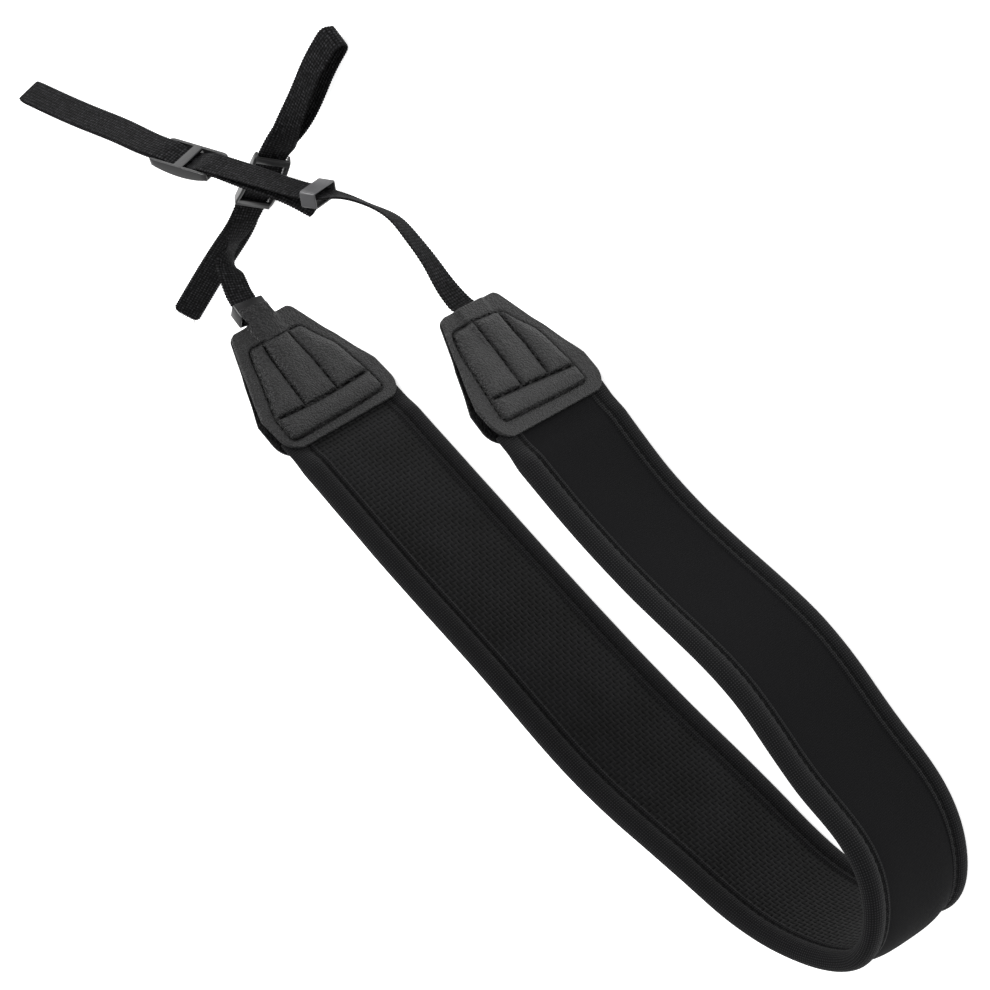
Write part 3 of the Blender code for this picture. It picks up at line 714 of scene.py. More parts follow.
@dataclass
class BandPath:
    """The band's surface: distance along its foot line, distance out from its middle, and height up it."""

    height: float = 60.0
    foot_flat: float = 0.25
    clamped: float = 53.0
    press: float = 0.5
    press_reach: float = 9.0
    samples: int = 2801
    end_samples: int = 8
    above_floor: float = 0.02
    fine: Array = field(init=False)
    fine_length: Array = field(init=False)
    total: float = field(init=False)

    def __post_init__(self) -> None:
        """Reads the route's spline once."""
        rows = np.array(BAND_ROUTE)
        self.fine = spline(rows, np.linspace(0.0, len(rows) - 1.0, self.samples), axes=2)
        self.fine_length = distances(self.fine[:, :2])
        self.total = float(self.fine_length[-1])

    def read(self, along: Array, column: int) -> Array:
        """One column of the route at each distance along it, carried straight on past both ends.

        Args:
            along: distances along the band's foot line.
            column: a column of BandRow.

        Returns:
            The column's value at each distance.
        """
        inside = np.clip(along, 0.0, self.total)
        value = np.interp(inside, self.fine_length, self.fine[:, column])
        if column == LEAN_COLUMN:
            return value
        near, far = self.end_samples, -1 - self.end_samples
        first = (self.fine[near, column] - self.fine[0, column]) / self.fine_length[near]
        last = ((self.fine[-1, column] - self.fine[far, column])
                / (self.fine_length[-1] - self.fine_length[far]))
        return value + np.minimum(along, 0.0) * first + np.maximum(along - self.total, 0.0) * last

    def frame(self, along: Array) -> tuple[Array, Array, Array]:
        """The band's axes at each distance: out is square to the way it runs, and its lean tips both.

        Args:
            along: distances along the band's foot line.

        Returns:
            Foot points, outward normals and up directions.
        """
        ahead, behind = along + 1.0, along - 1.0
        way = unit(np.stack([self.read(ahead, k) - self.read(behind, k) for k in (0, 1)], axis=-1))
        tip = np.radians(self.read(along, LEAN_COLUMN))
        level = np.zeros(way.shape[:-1])
        out = np.stack([way[..., 1], -way[..., 0], level], axis=-1)
        upright = np.stack([level, level, level + 1.0], axis=-1)
        normal = out * np.cos(tip)[..., None] - upright * np.sin(tip)[..., None]
        up = out * np.sin(tip)[..., None] + upright * np.cos(tip)[..., None]
        foot = np.stack([self.read(along, 0), self.read(along, 1), level - self.foot_flat], axis=-1)
        return foot, normal, up

    def points(self, along: Array, out: Array, height: Array) -> Array:
        """Foot + out * normal + height * up, kept above the floor.

        Args:
            along: distances along the band's foot line.
            out: distances out from its middle.
            height: heights up it.

        Returns:
            One point for each, on a shared grid.
        """
        along, out, height = np.broadcast_arrays(along, out, height)
        foot, normal, up = self.frame(along)
        place = foot + normal * out[..., None] + up * height[..., None]
        place[..., 2] = np.maximum(place[..., 2], self.above_floor)
        return place

    def keep(self, along: Array) -> Array:
        """The share of its thickness that the band keeps: 1 - press between the tabs, then easing to 1."""
        from_end = np.minimum(along, self.total - along)
        return 1.0 - self.press * (1.0 - ease(from_end, self.clamped, self.clamped + self.press_reach))


# ---------------------------------------------------------------- the padded band

class Edge(Enum):
    """The band's two long edges."""

    TOP = "top"
    BOTTOM = "bottom"


class BindingRow(NamedTuple):
    """One place on the binding's section: height from the band's edge, and distance out from its middle."""

    from_edge: float
    out: float


# From the lip on one face, over the stitched groove and the puffy roll, to the middle of the edge.
BINDING_SECTION = (
    BindingRow(10.6, 1.75),
    BindingRow(10.45, 2.45),
    BindingRow(9.9, 2.8),
    BindingRow(9.2, 2.85),
    BindingRow(8.5, 2.6),
    BindingRow(8.0, 2.15),
    BindingRow(7.4, 2.5),
    BindingRow(6.3, 3.3),
    BindingRow(4.8, 3.7),
    BindingRow(3.3, 3.65),
    BindingRow(1.9, 3.15),
    BindingRow(0.8, 2.3),
    BindingRow(0.15, 1.2),
    BindingRow(0.0, 0.0),
)
BINDING_SAMPLES = 200


@dataclass
class PaddedBand:
    """The neoprene pad, its grip face, and the knit tape that binds both long edges."""

    path: BandPath
    face_out: float = 2.0
    face_crown: float = 0.45
    face_start: float = 36.0
    face_inset: float = 2.2
    face_step: float = 1.6
    face_columns: int = 52
    face_behind: float = 0.9
    face_waves: float = 0.14
    face_wavelength: float = 34.0
    behind_columns: int = 7
    bend_bulge: float = 3.0
    bend_at: float = 322.0
    bend_reach: float = 38.0
    grip_out: float = 2.05
    grip_crown: float = 0.35
    grip_start: float = 41.0
    grip_to_edge: float = 4.5
    grip_behind: float = 1.0
    grip_waves: float = 0.10
    grip_wavelength: float = 30.0
    stroke_cell: float = 1.95
    stroke_half_width: float = 0.12
    stroke_depth: float = 0.34
    groove_at: float = 8.0
    groove_half_width: float = 1.3
    tape_wall: float = 0.8
    tape_step: float = 0.8
    tape_overlap: float = 6.0
    tape_columns: int = 46
    tape_inner_columns: int = 13
    tape_dimple: float = 0.16
    tape_puff: float = 0.035
    tape_wavelength: float = 26.0
    tape_wave_share: float = 0.3
    tape_thinnest: float = 0.15
    tape_fold: float = 3.0
    stitch_out: float = 2.12
    stitch_lift: float = 0.02
    stitch_pitch: float = 3.3
    stitch_length: float = 2.3
    stitch_radius: float = 0.17

    def build(self) -> None:
        """Makes and places every piece of the band."""
        face = make_piece("neoprene_pad", self.pad(), JERSEY.material())
        place_piece(face, ["pad_core"])
        cells = int((self.path.total - 2.0 * self.grip_start) / self.stroke_cell)
        grip = make_piece("grip_back_half", self.grip(0, cells // 2), GRIP.material())
        place_piece(grip, ["grip_panel"])
        grip = make_piece("grip_front_half", self.grip(cells // 2, cells), GRIP.material())
        place_piece(grip)
        for edge in Edge:
            name = f"{edge.value}_binding_tape"
            tape = make_piece(name, self.binding(edge), BINDING_KNIT.material())
            place_piece(tape, [f"{edge.value}_binding"])
            seam = make_piece(f"{edge.value}_binding_stitches", self.stitches(edge), THREAD.material())
            place_piece(seam)

    def crown(self, height: Array) -> Array:
        """1 at the pad's middle, falling to 0 at the bindings, as 1 - t^4.

        Args:
            height: heights above the band's foot.

        Returns:
            The crown's share at each height.
        """
        middle = self.path.height / 2.0
        t = np.clip((height - middle) / (middle - self.groove_at), -1.0, 1.0)
        return 1.0 - t ** 4

    def pad(self) -> Surface:
        """The pad from tab to tab, its outer face crowned, and most where the band bends.

        The face lies at (out + (crown + bulge e^-((along - bend) / reach)^2) (1 - t^4)) keep + waves.

        Returns:
            The closed surface.
        """
        along = np.arange(self.face_start, self.path.total - self.face_start, self.face_step)[:, None]
        low, high = self.face_inset, self.path.height - self.face_inset
        face = np.linspace(low, high, self.face_columns)[None, :]
        behind = np.linspace(high, low, self.behind_columns)[None, :]
        keep = self.path.keep(along)
        waves = self.face_waves * ripple(along, face, self.face_wavelength, seed=Seed.PAD) * self.crown(face)
        bulge = self.bend_bulge * np.exp(-((along - self.bend_at) / self.bend_reach) ** 2)
        outside = (self.face_out + (self.face_crown + bulge) * self.crown(face)) * keep + waves
        inside = -self.face_behind * keep * np.ones_like(behind)
        height = np.concatenate([face, behind], axis=1)
        flat = np.stack(np.broadcast_arrays(along, height), axis=-1)
        rings = self.path.points(along, np.concatenate([outside, inside], axis=1), height)
        return ring_tube(rings, flat, ends_meet=False)

    def cell_lines(self, first: int, last: int) -> Array:
        """Grid lines of the emboss in cells: at each cell's start, and at its stroke's two sides and middle.

        Args:
            first: the first cell.
            last: the cell after the last one.

        Returns:
            The lines' places, in cells.
        """
        w = self.stroke_half_width
        lines = np.arange(first, last)[:, None] + np.array([0.0, 0.5 - w, 0.5, 0.5 + w])[None, :]
        return np.append(lines.ravel(), float(last))

    def strokes(self, u: Array, v: Array) -> Array:
        """One short groove a cell, lengthwise and upright by turns: (1 - |across| / w) (1 - |2 along|^4).

        Args:
            u: place along the band, in cells.
            v: place up the band, in cells.

        Returns:
            The groove's depth, from 0 to 1.
        """
        nudge = 1e-6            # a place on a cell's first line counts as in it
        column, row = np.floor(u + nudge), np.floor(v + nudge)
        odd = (column + row) % 2.0 > 0.5
        a, b = u - column - 0.5, v - row - 0.5
        long_way = np.where(odd, a, b)
        short_way = np.where(odd, b, a)
        return (np.clip(1.0 - np.abs(short_way) / self.stroke_half_width, 0.0, 1.0)
                * np.clip(1.0 - (2.0 * np.abs(long_way)) ** 4, 0.0, 1.0))

    def grip(self, first: int, last: int) -> Surface:
        """The neck-side face between two cells of its emboss: crowned like the pad, less the strokes' depth.

        Args:
            first: the first cell.
            last: the cell after the last one.

        Returns:
            The closed surface, hollow along its strokes.
        """
        u = self.cell_lines(first, last)[:, None]
        along = self.grip_start + u * self.stroke_cell
        low, high = self.grip_to_edge, self.path.height - self.grip_to_edge
        v = self.cell_lines(0, int((high - low) / self.stroke_cell))[None, :]
        face = low + v * (high - low) / v[0, -1]
        behind = np.linspace(high, low, self.behind_columns)[None, :]
        keep = self.path.keep(along)
        waves = self.grip_waves * ripple(along, face, self.grip_wavelength, seed=Seed.GRIP)
        strokes = self.strokes(u, v)
        proud = (self.grip_out + self.grip_crown * self.crown(face)) * keep + waves
        front = -proud + self.stroke_depth * strokes
        back = -self.grip_behind * keep * np.ones_like(behind)
        height = np.concatenate([face, behind], axis=1)
        rings = self.path.points(along, np.concatenate([front, back], axis=1), height)
        flat = np.stack(np.broadcast_arrays(along, height), axis=-1)
        hollow = np.concatenate([strokes, np.zeros_like(back)], axis=1)
        return ring_tube(rings, flat, ends_meet=False, hollow=hollow)

    def section(self, around: int) -> tuple[Array, Array]:
        """The binding's section from the outer lip to the neck-side lip, read evenly from its spline.

        Args:
            around: how many points to read.

        Returns:
            Distance from the edge and distance out, as two rows, and how far round the section each
            point is.
        """
        rows = np.array(BINDING_SECTION)
        half = spline(rows, np.linspace(0.0, len(rows) - 1.0, BINDING_SAMPLES), axes=2)
        whole = np.concatenate([half, (half * [1.0, -1.0])[-2::-1]])
        length = distances(whole)
        even = np.linspace(0.0, length[-1], around)
        return np.stack([np.interp(even, length, whole[:, k]) for k in (0, 1)]), even

    def binding(self, edge: Edge) -> Surface:
        """The tape folded over one edge: a puffy roll, a groove dimpled by stitches, a lip on each face.

        Args:
            edge: the band's top or bottom edge.

        Returns:
            The closed surface, hollow along its groove.
        """
        start = self.path.clamped - self.tape_overlap
        along = np.arange(start, self.path.total - start, self.tape_step)[:, None]
        keep = self.path.keep(along)
        (from_edge, out), even = self.section(self.tape_columns)
        seam = np.exp(-((from_edge - self.groove_at) / self.groove_half_width) ** 2)
        dimple = self.tape_dimple * seam * np.cos(2.0 * math.pi * along / self.stitch_pitch)
        seed = Seed.TOP_TAPE if edge is Edge.TOP else Seed.BOTTOM_TAPE
        round_it = even[None, :] * self.tape_wave_share
        puff = 1.0 + self.tape_puff * ripple(along, round_it, self.tape_wavelength, seed)
        on_face = np.abs(out) > 0.5
        reach = np.sign(out) * (np.abs(out) * puff + dimple * on_face) * keep
        inner, inner_even = (part[..., ::-1] for part in self.section(self.tape_inner_columns))
        inner_edge, inner_out = inner
        thinned = np.maximum(np.abs(inner_out) - self.tape_wall, self.tape_thinnest)
        inside = np.sign(inner_out) * thinned * keep
        inner_edge = inner_edge + self.tape_wall * np.maximum(1.0 - inner_edge / self.tape_fold, 0.0)
        whole_edge = np.concatenate([from_edge, inner_edge])[None, :]
        height = self.path.height - whole_edge if edge is Edge.TOP else whole_edge
        rings = self.path.points(along, np.concatenate([reach, inside], axis=1), height)
        flat = np.stack(np.broadcast_arrays(along, np.concatenate([even, inner_even])[None, :]), axis=-1)
        hollow = np.concatenate([seam, np.zeros(len(inner_even))])[None, :]
        return ring_tube(rings, flat, ends_meet=False, hollow=hollow)

    def stitches(self, edge: Edge) -> Surface:
        """The lock-stitch in the binding's groove, on both faces.

        Args:
            edge: the band's top or bottom edge.

        Returns:
            One surface with every stitch.
        """
        start = self.path.clamped + 0.5
        along = np.arange(start, self.path.total - start, self.stitch_pitch)
        up = self.path.height - self.groove_at if edge is Edge.TOP else self.groove_at
        keep = self.path.keep(along)
        rows = []
        for side in (1.0, -1.0):
            out = self.stitch_out * keep
            place = self.path.points(along, side * (out + self.stitch_lift), up)
            ahead = self.path.points(along + 0.5, side * out, up)
            rows.append(stitch_row(place, ahead - place, side * self.path.frame(along)[1],
                                   self.stitch_length, self.stitch_radius))
        return joined(rows)


STITCH_STATIONS = (-1.0, -0.8, -0.3, 0.3, 0.8, 1.0)     # rings of a bead, from its end to its end
STITCH_SIDES = 6
STITCH_TIP = 0.02               # keeps a bead's last rings from closing to a point
STITCH_RISE = 0.45              # how proud a bead's middle is, in thread radii
STITCH_DIP = 2.2                # how far its ends sink, as a share of that


def stitch_row(place: Array, way: Array, out: Array, length: float, radius: float) -> Surface:
    """Short thread ends in a row, each a bead: radius * sqrt(1 - s^2) round a line that dips at both ends.

    Args:
        place: middle of each stitch.
        way: direction of each stitch.
        out: direction away from the cloth at each stitch.
        length: length of a stitch.
        radius: thread radius.

    Returns:
        One surface with every stitch.
    """
    way = unit(way)
    out = unit(out - way * (out * way).sum(-1, keepdims=True))
    side = np.cross(way, out)
    along = np.array(STITCH_STATIONS)
    turn = np.radians(np.arange(STITCH_SIDES) * 360.0 / STITCH_SIDES)
    fat = radius * np.sqrt(np.maximum(1.0 - along ** 2, STITCH_TIP))
    dip = STITCH_RISE * radius * (1.0 - STITCH_DIP * along ** 2)
    middle = (place[:, None] + way[:, None] * (along * length / 2.0)[None, :, None]
              + out[:, None] * dip[None, :, None])
    ring = (np.cos(turn)[None, :, None] * out[:, None, :]
            + np.sin(turn)[None, :, None] * side[:, None, :])
    points = middle[:, :, None, :] + ring[:, None, :, :] * fat[None, :, None, None]
    flat = np.stack(np.broadcast_arrays(along[:, None] * length, turn[None, :] * radius), axis=-1)
    return joined([ring_tube(one, flat, ends_meet=False) for one in points])


# ---------------------------------------------------------------- the leather tabs

class Side(Enum):
    """The two sides of the band: the outer face, or the neck side."""

    OUTER = 1.0
    INNER = -1.0


@dataclass(frozen=True)
class Seam:
    """One seam of the quilting, by its corners: distance from the narrow end, height from the middle."""

    corners: tuple[tuple[float, float], ...]
    closed: bool = False
    radius: float = 2.2
    corner_share: float = 0.45
    corner_points: int = 5

    def line(self) -> Array:
        """Points along the seam; each corner is a curve (1-t)^2 a + 2t(1-t) corner + t^2 b.

        Returns:
            The points, (count, 2); a closed seam ends on its first point.
        """
        corners = np.array(self.corners)
        here = corners if self.closed else corners[1:-1]
        before = np.roll(corners, 1, axis=0) if self.closed else corners[:-2]
        after = np.roll(corners, -1, axis=0) if self.closed else corners[2:]
        ends = []
        for other in (before, after):
            gap = np.linalg.norm(other - here, axis=1)[:, None]
            ends.append(here + (other - here) / gap * np.minimum(self.radius, self.corner_share * gap))
        a, b = (end[:, None] for end in ends)
        t = np.linspace(0.0, 1.0, self.corner_points)[None, :, None]
        curves = (1.0 - t) ** 2 * a + 2.0 * t * (1.0 - t) * here[:, None] + t ** 2 * b
        line = curves.reshape(-1, 2)
        if self.closed:
            return np.concatenate([line, line[:1]])
        return np.concatenate([corners[:1], line, corners[-1:]])

    def nearest(self, from_end: Array, offset: Array) -> tuple[Array, Array]:
        """The nearest point of the seam's straight pieces to each place.

        Args:
            from_end: distances from the tab's narrow end.
            offset: heights from the band's middle.

        Returns:
            Distance from the seam, and distance along it.
        """
        line = self.line()
        start, step = line[:-1], np.diff(line, axis=0)
        length = np.linalg.norm(step, axis=1)
        before = np.concatenate([[0.0], np.cumsum(length)[:-1]])
        e, y = from_end[..., None] - start[:, 0], offset[..., None] - start[:, 1]
        t = np.clip((e * step[:, 0] + y * step[:, 1]) / length ** 2, 0.0, 1.0)
        gap = np.hypot(e - t * step[:, 0], y - t * step[:, 1])
        best = gap.argmin(axis=-1)[..., None]
        run = np.take_along_axis(before + t * length, best, axis=-1)
        return np.take_along_axis(gap, best, axis=-1)[..., 0], run[..., 0]

    def holds(self, from_end: Array, offset: Array) -> Array:
        """Whether each place lies in a closed seam: a line from it crosses the seam an odd number of times.

        Args:
            from_end: distances from the tab's narrow end.
            offset: heights from the band's middle.

        Returns:
            True inside.
        """
        line = self.line()
        start, stop = line[:-1], line[1:]
        rise = np.where(stop[:, 1] == start[:, 1], 1.0, stop[:, 1] - start[:, 1])
        at = start[:, 0] + (offset[..., None] - start[:, 1]) / rise * (stop[:, 0] - start[:, 0])
        spans = (start[:, 1] > offset[..., None]) != (stop[:, 1] > offset[..., None])
        return (spans & (from_end[..., None] < at)).sum(axis=-1) % 2 == 1

    def spaced(self, pitch: float, step: float = 0.3) -> Array:
        """Places every pitch along the seam, each read a step before and a step after for its direction.

        Args:
            pitch: distance between places.
            step: distance of the two readings from the place.

        Returns:
            The readings, (count, 2, 2).
        """
        line = self.line()
        length = distances(line)
        count = max(int(length[-1] / pitch), 1)
        at = (np.arange(count) + 0.5) * length[-1] / count
        both = np.stack([at - step, at + step], axis=-1)
        return np.stack([np.interp(both, length, line[:, k]) for k in (0, 1)], axis=-1)


@dataclass(frozen=True)
class Quilting:
    """A tab's seams: the outline of its padding, and the seams inside it."""

    outline: Seam
    inner: tuple[Seam, ...]

    @property
    def seams(self) -> tuple[Seam, ...]:
        """Every seam, the outline first."""
        return (self.outline, *self.inner)


BACK_QUILTING = Quilting(
    Seam(((8.6, 12.2), (24.8, 19.6), (38.5, 25.9), (49.0, 26.6), (48.7, -4.7), (48.0, -22.6), (38.5, -22.4),
          (24.1, -20.2), (9.4, -13.5), (9.2, 1.1)), closed=True),
    (Seam(((38.5, 25.9), (39.6, 11.2), (39.7, -5.6), (38.9, -22.4))),
     Seam(((8.9, 6.1), (24.0, 9.2), (39.6, 11.2))),
     Seam(((9.2, -6.3), (24.0, -6.6), (39.7, -5.6)))))
FRONT_QUILTING = Quilting(
    Seam(((6.7, 14.9), (6.6, 4.7), (7.7, -10.6), (19.0, -17.8), (37.8, -21.1), (45.4, -21.0), (45.0, 0.0),
          (44.2, 24.4), (34.5, 22.5), (19.0, 19.4)), closed=True),
    (Seam(((35.1, 22.5), (36.6, 0.0), (38.2, -21.1))),
     Seam(((6.6, 4.7), (21.0, 5.2), (35.9, 6.3))),
     Seam(((7.6, -8.4), (22.0, -8.5), (37.2, -7.6)))))


class SpaceRow(NamedTuple):
    """Half the space between a pair of tabs at one distance from their narrow end."""

    from_end: float
    half_space: float


TAB_SPACE = (
    SpaceRow(0.0, 1.2),
    SpaceRow(18.0, 1.1),
    SpaceRow(27.0, 1.2),
    SpaceRow(37.0, 1.45),
    SpaceRow(44.0, 1.9),
    SpaceRow(53.0, 2.0),
)


class SewnRow(NamedTuple):
    """One place of the webbing between a pair of tabs: distance from their narrow end, and height."""

    from_end: float
    height: float


FRONT_SEWN = (SewnRow(22.0, 30.0), SewnRow(11.0, 30.0), SewnRow(0.5, 30.0))
BACK_SEWN = (SewnRow(22.0, 31.0), SewnRow(11.0, 29.8), SewnRow(0.5, 28.5))


class Span(NamedTuple):
    """Two distances between which something sets in."""

    low: float
    high: float


class TabSize(NamedTuple):
    """A tab's length, half its height at each end, and the height of its middle there."""

    length: float
    narrow_half: float
    wide_half: float
    narrow_middle: float
    wide_middle: float


BACK_TAB = TabSize(53.0, 15.2, 30.4, 28.9, 30.8)
FRONT_TAB = TabSize(50.6, 14.8, 30.4, 30.0, 30.8)


@dataclass
class LeatherTab:
    """One quilted leather tab: a flat rim, three padded ribs lengthwise and one across the wide end."""

    path: BandPath
    name: str
    at_start: bool
    side: Side
    size: TabSize
    quilting: Quilting
    sewn: Sequence[SewnRow]
    taper: float = 36.0
    narrow_radius: float = 2.5
    wide_radius: float = 8.0
    leather: float = 1.0
    rib_rise: float = 2.0
    rib_reach: float = 5.4
    rim_rise: float = 0.25
    rim_reach: float = 1.5
    rim_pucker: float = 0.5
    rim_thinned: float = 0.5
    rim_tucked: float = 0.2
    pucker: float = 0.11
    pucker_span: Span = Span(0.5, 1.7)
    crease: float = 0.09
    crease_length: float = 8.0
    groove: float = 0.7
    groove_half_width: float = 0.62
    edge_radius: float = 0.6
    rings: int = 170
    front_columns: int = 118
    back_columns: int = 13
    webbing_width: float = 10.7
    beside_webbing: Span = Span(0.6, 3.2)
    beside_until: Span = Span(14.0, 24.0)
    rim_closing: float = 0.45
    rim_span: Span = Span(1.0, 5.0)
    rim_until: Span = Span(27.0, 35.0)
    closed_space: float = 0.15
    stitch_pitch: float = 2.7
    stitch_length: float = 1.9
    stitch_radius: float = 0.17
    stitch_lift: float = 0.02

    def build(self) -> None:
        """Makes and places the tab and its stitching."""
        piece = make_piece(f"leather_{self.name}", self.leather_sheet(), LEATHER.material())
        place_piece(piece, [self.name])
        seam = make_piece(f"stitches_{self.name}", self.stitching(), THREAD.material())
        place_piece(seam)

    def half_height(self, from_end: Array) -> Array:
        """Half the tab's height, tapered to its narrow end and rounded at its four corners.

        Args:
            from_end: distances from the narrow end.

        Returns:
            Half the height at each.
        """
        share = np.clip(from_end / self.taper, 0.0, 1.0)
        half = self.size.narrow_half + (self.size.wide_half - self.size.narrow_half) * share
        return (half - rounded_off(from_end, self.narrow_radius)
                - rounded_off(self.size.length - from_end, self.wide_radius))

    def middle(self, from_end: Array) -> Array:
        """The height of the tab's middle."""
        share = np.clip(from_end / self.taper, 0.0, 1.0)
        return self.size.narrow_middle + (self.size.wide_middle - self.size.narrow_middle) * share

    def relief(self, from_end: Array, offset: Array) -> tuple[Array, Array]:
        """Pillows between the seams: rise * sqrt(1 - (1 - t)^2), t being the distance from a seam over reach.

        Args:
            from_end: distance from the narrow end.
            offset: height from the band's middle.

        Returns:
            The relief, and how near a seam each place is, from 1 on it to 0.
        """
        found = [seam.nearest(from_end, offset) for seam in self.quilting.seams]
        gaps = np.stack([gap for gap, run in found])
        best = gaps.argmin(axis=0)[None]
        gap = np.take_along_axis(gaps, best, axis=0)[0]
        run = np.take_along_axis(np.stack([run for gap, run in found]), best, axis=0)[0]
        padded = self.quilting.outline.holds(from_end, offset)
        t = np.clip(gap / self.rib_reach, 0.0, 1.0)
        pillow = self.rib_rise * np.sqrt(1.0 - (1.0 - t) ** 2)
        rim = self.rim_rise * (1.0 - np.exp(-gap / self.rim_reach))
        fade = np.exp(-gap / self.pucker_span.high) * (1.0 - np.exp(-gap / self.pucker_span.low))
        pucker = self.pucker * fade * np.cos(2.0 * math.pi * run / self.stitch_pitch)
        creases = self.crease * ripple(from_end, offset, self.crease_length, seed=Seed.TAB_CREASES) * t
        near = np.exp(-(gap / self.groove_half_width) ** 2)
        on_rim = rim + self.rim_pucker * pucker
        return np.where(padded, pillow + pucker + creases, on_rim) - self.groove * near, near

    def space(self, from_end: Array, height: Array) -> Array:
        """Half the space under the leather, closing beside the webbing and along the tapered rims.

        Args:
            from_end: distances from the narrow end.
            height: heights above the band's foot.

        Returns:
            Half the space at each place.
        """
        rows = np.array(TAB_SPACE)
        space = np.interp(from_end, rows[:, 0], rows[:, 1])
        sewn = np.array(self.sewn)[::-1]
        off = np.abs(height - np.interp(from_end, sewn[:, 0], sewn[:, 1]))
        beside = ease(off - self.webbing_width / 2.0, *self.beside_webbing)
        pinch = beside * (1.0 - ease(from_end, *self.beside_until))
        rim = self.half_height(from_end) - np.abs(height - self.middle(from_end))
        closing = (1.0 - ease(rim, *self.rim_span)) * (1.0 - ease(from_end, *self.rim_until))
        pinch = np.maximum(pinch, self.rim_closing * closing)
        return space * (1.0 - pinch) + self.closed_space * pinch

    def surface_point(self, from_end: Array, height: Array, lift: Array) -> Array:
        """A point lift millimetres out from the middle of the band, at a height above the band's foot."""
        along = from_end if self.at_start else self.path.total - from_end
        return self.path.points(along, self.side.value * lift, height)

    def leather_sheet(self) -> Surface:
        """The tab as rings from its narrow to its wide end, each round its front and back, its rim rounded.

        Returns:
            The closed surface, hollow along its seams.
        """
        e = self.size.length / 2.0 * (1.0 + closer_at_ends(self.rings))[:, None]
        front = closer_at_ends(self.front_columns)[None, :]
        back = np.linspace(1.0, -1.0, self.back_columns)[None, :]
        half, middle = self.half_height(e), self.middle(e)
        lifts, heights = [], []
        for share, outside in ((front, True), (back, False)):
            height = middle + half * share
            rim = np.minimum(half * (1.0 - np.abs(share)), np.minimum(e, self.size.length - e))
            fall = rounded_off(rim, self.edge_radius) / self.edge_radius
            space = self.space(e, height)
            if outside:
                relief, near = self.relief(*np.broadcast_arrays(e, height - self.path.height / 2.0))
                thick = self.leather * (1.0 - self.rim_thinned * fall)
                lifts.append(space + thick + relief * (1.0 - fall))
            else:
                lifts.append(space + self.rim_tucked * self.leather * fall)
            heights.append(height)
        height = np.concatenate(heights, axis=1)
        flat = np.stack(np.broadcast_arrays(e, height), axis=-1)
        hollow = np.concatenate([near, np.zeros_like(lifts[1])], axis=1)
        rings = self.surface_point(e, height, np.concatenate(lifts, axis=1))
        return ring_tube(rings, flat, ends_meet=False, hollow=hollow)

    def stitching(self) -> Surface:
        """The lock-stitch sunk in every seam of the quilting.

        Returns:
            One surface with every stitch.
        """
        rows = []
        for seam in self.quilting.seams:
            both = seam.spaced(self.stitch_pitch)
            e, height = both[..., 0], both[..., 1] + self.path.height / 2.0
            lift = self.space(e, height) + self.leather - self.groove + self.stitch_lift
            place = self.surface_point(e, height, lift)
            along = e.mean(axis=1) if self.at_start else self.path.total - e.mean(axis=1)
            out = self.path.frame(along)[1] * self.side.value
            rows.append(stitch_row(place.mean(axis=1), place[:, 1] - place[:, 0], out,
                                   self.stitch_length, self.stitch_radius))
        return joined(rows)


# ---------------------------------------------------------------- the webbings

class LeadRow(NamedTuple):
    """One place on a webbing's route to the end of its loop; lean tips its upper edge to the left."""

    x: float
    y: float
    z: float
    lean_deg: float
    half_gap: float = 0.75


class TailRow(NamedTuple):
    """One place on a webbing's free tail."""

    x: float
    y: float
    z: float
    lean_deg: float


FRONT_LEAD = (
    LeadRow(38.0, -84.2, 30.0, 5.0),
    LeadRow(45.6, -85.0, 30.0, -2.0),
    LeadRow(56.5, -87.8, 29.8, -14.0),
    LeadRow(68.6, -89.5, 29.4, -20.0),
    LeadRow(76.0, -89.6, 28.9, -24.0),
    LeadRow(83.5, -87.0, 28.1, -27.0),
    LeadRow(90.9, -82.7, 27.4, -28.0),
    LeadRow(99.0, -77.7, 27.2, -18.0),
    LeadRow(108.9, -70.2, 28.2, 5.0),
    LeadRow(119.9, -62.9, 29.0, 9.0),
    LeadRow(131.9, -54.7, 28.2, 12.0),
    LeadRow(142.5, -47.3, 27.2, 15.0),
    LeadRow(150.6, -41.8, 26.5, 17.5),
    LeadRow(164.5, -32.9, 25.9, 18.0),
    LeadRow(178.4, -24.0, 25.3, 19.0),
    LeadRow(196.3, -12.1, 20.6, 24.0),
    LeadRow(216.8, 2.4, 15.0, 27.0),
    LeadRow(251.3, 25.6, 5.6, 28.0),
)
BACK_LEAD = (
    LeadRow(106.4, -1.8, 28.3, 9.0),
    LeadRow(111.5, -1.4, 27.2, 11.0),
    LeadRow(120.2, -0.4, 24.4, 10.0),
    LeadRow(129.2, 0.5, 19.6, -4.0),
    LeadRow(135.6, 2.1, 15.0, -20.0),
    LeadRow(138.9, 0.3, 11.6, -20.0),
    LeadRow(140.9, -4.6, 8.9, 3.0),
    LeadRow(142.0, -11.9, 6.5, 25.0),
    LeadRow(142.7, -18.5, 5.8, 38.0),
    LeadRow(142.5, -34.8, 7.4, 39.0),
    LeadRow(142.4, -43.0, 8.25, 39.0),
    LeadRow(142.1, -51.2, 9.1, 40.0),
    LeadRow(141.1, -59.0, 9.8, 58.0, 1.60),
    LeadRow(140.5, -67.4, 10.0, 82.0, 2.80),
    LeadRow(141.0, -82.1, 9.2, 98.0, 3.50),
    LeadRow(142.6, -95.6, 8.0, 101.0, 3.50),
    LeadRow(142.8, -108.0, 7.0, 101.0, 3.30),
)
FRONT_TAIL = (
    TailRow(133.0, -50.5, 25.4, 22.0),
    TailRow(120.7, -57.7, 24.8, 35.0),
    TailRow(108.5, -62.3, 24.2, 45.0),
)
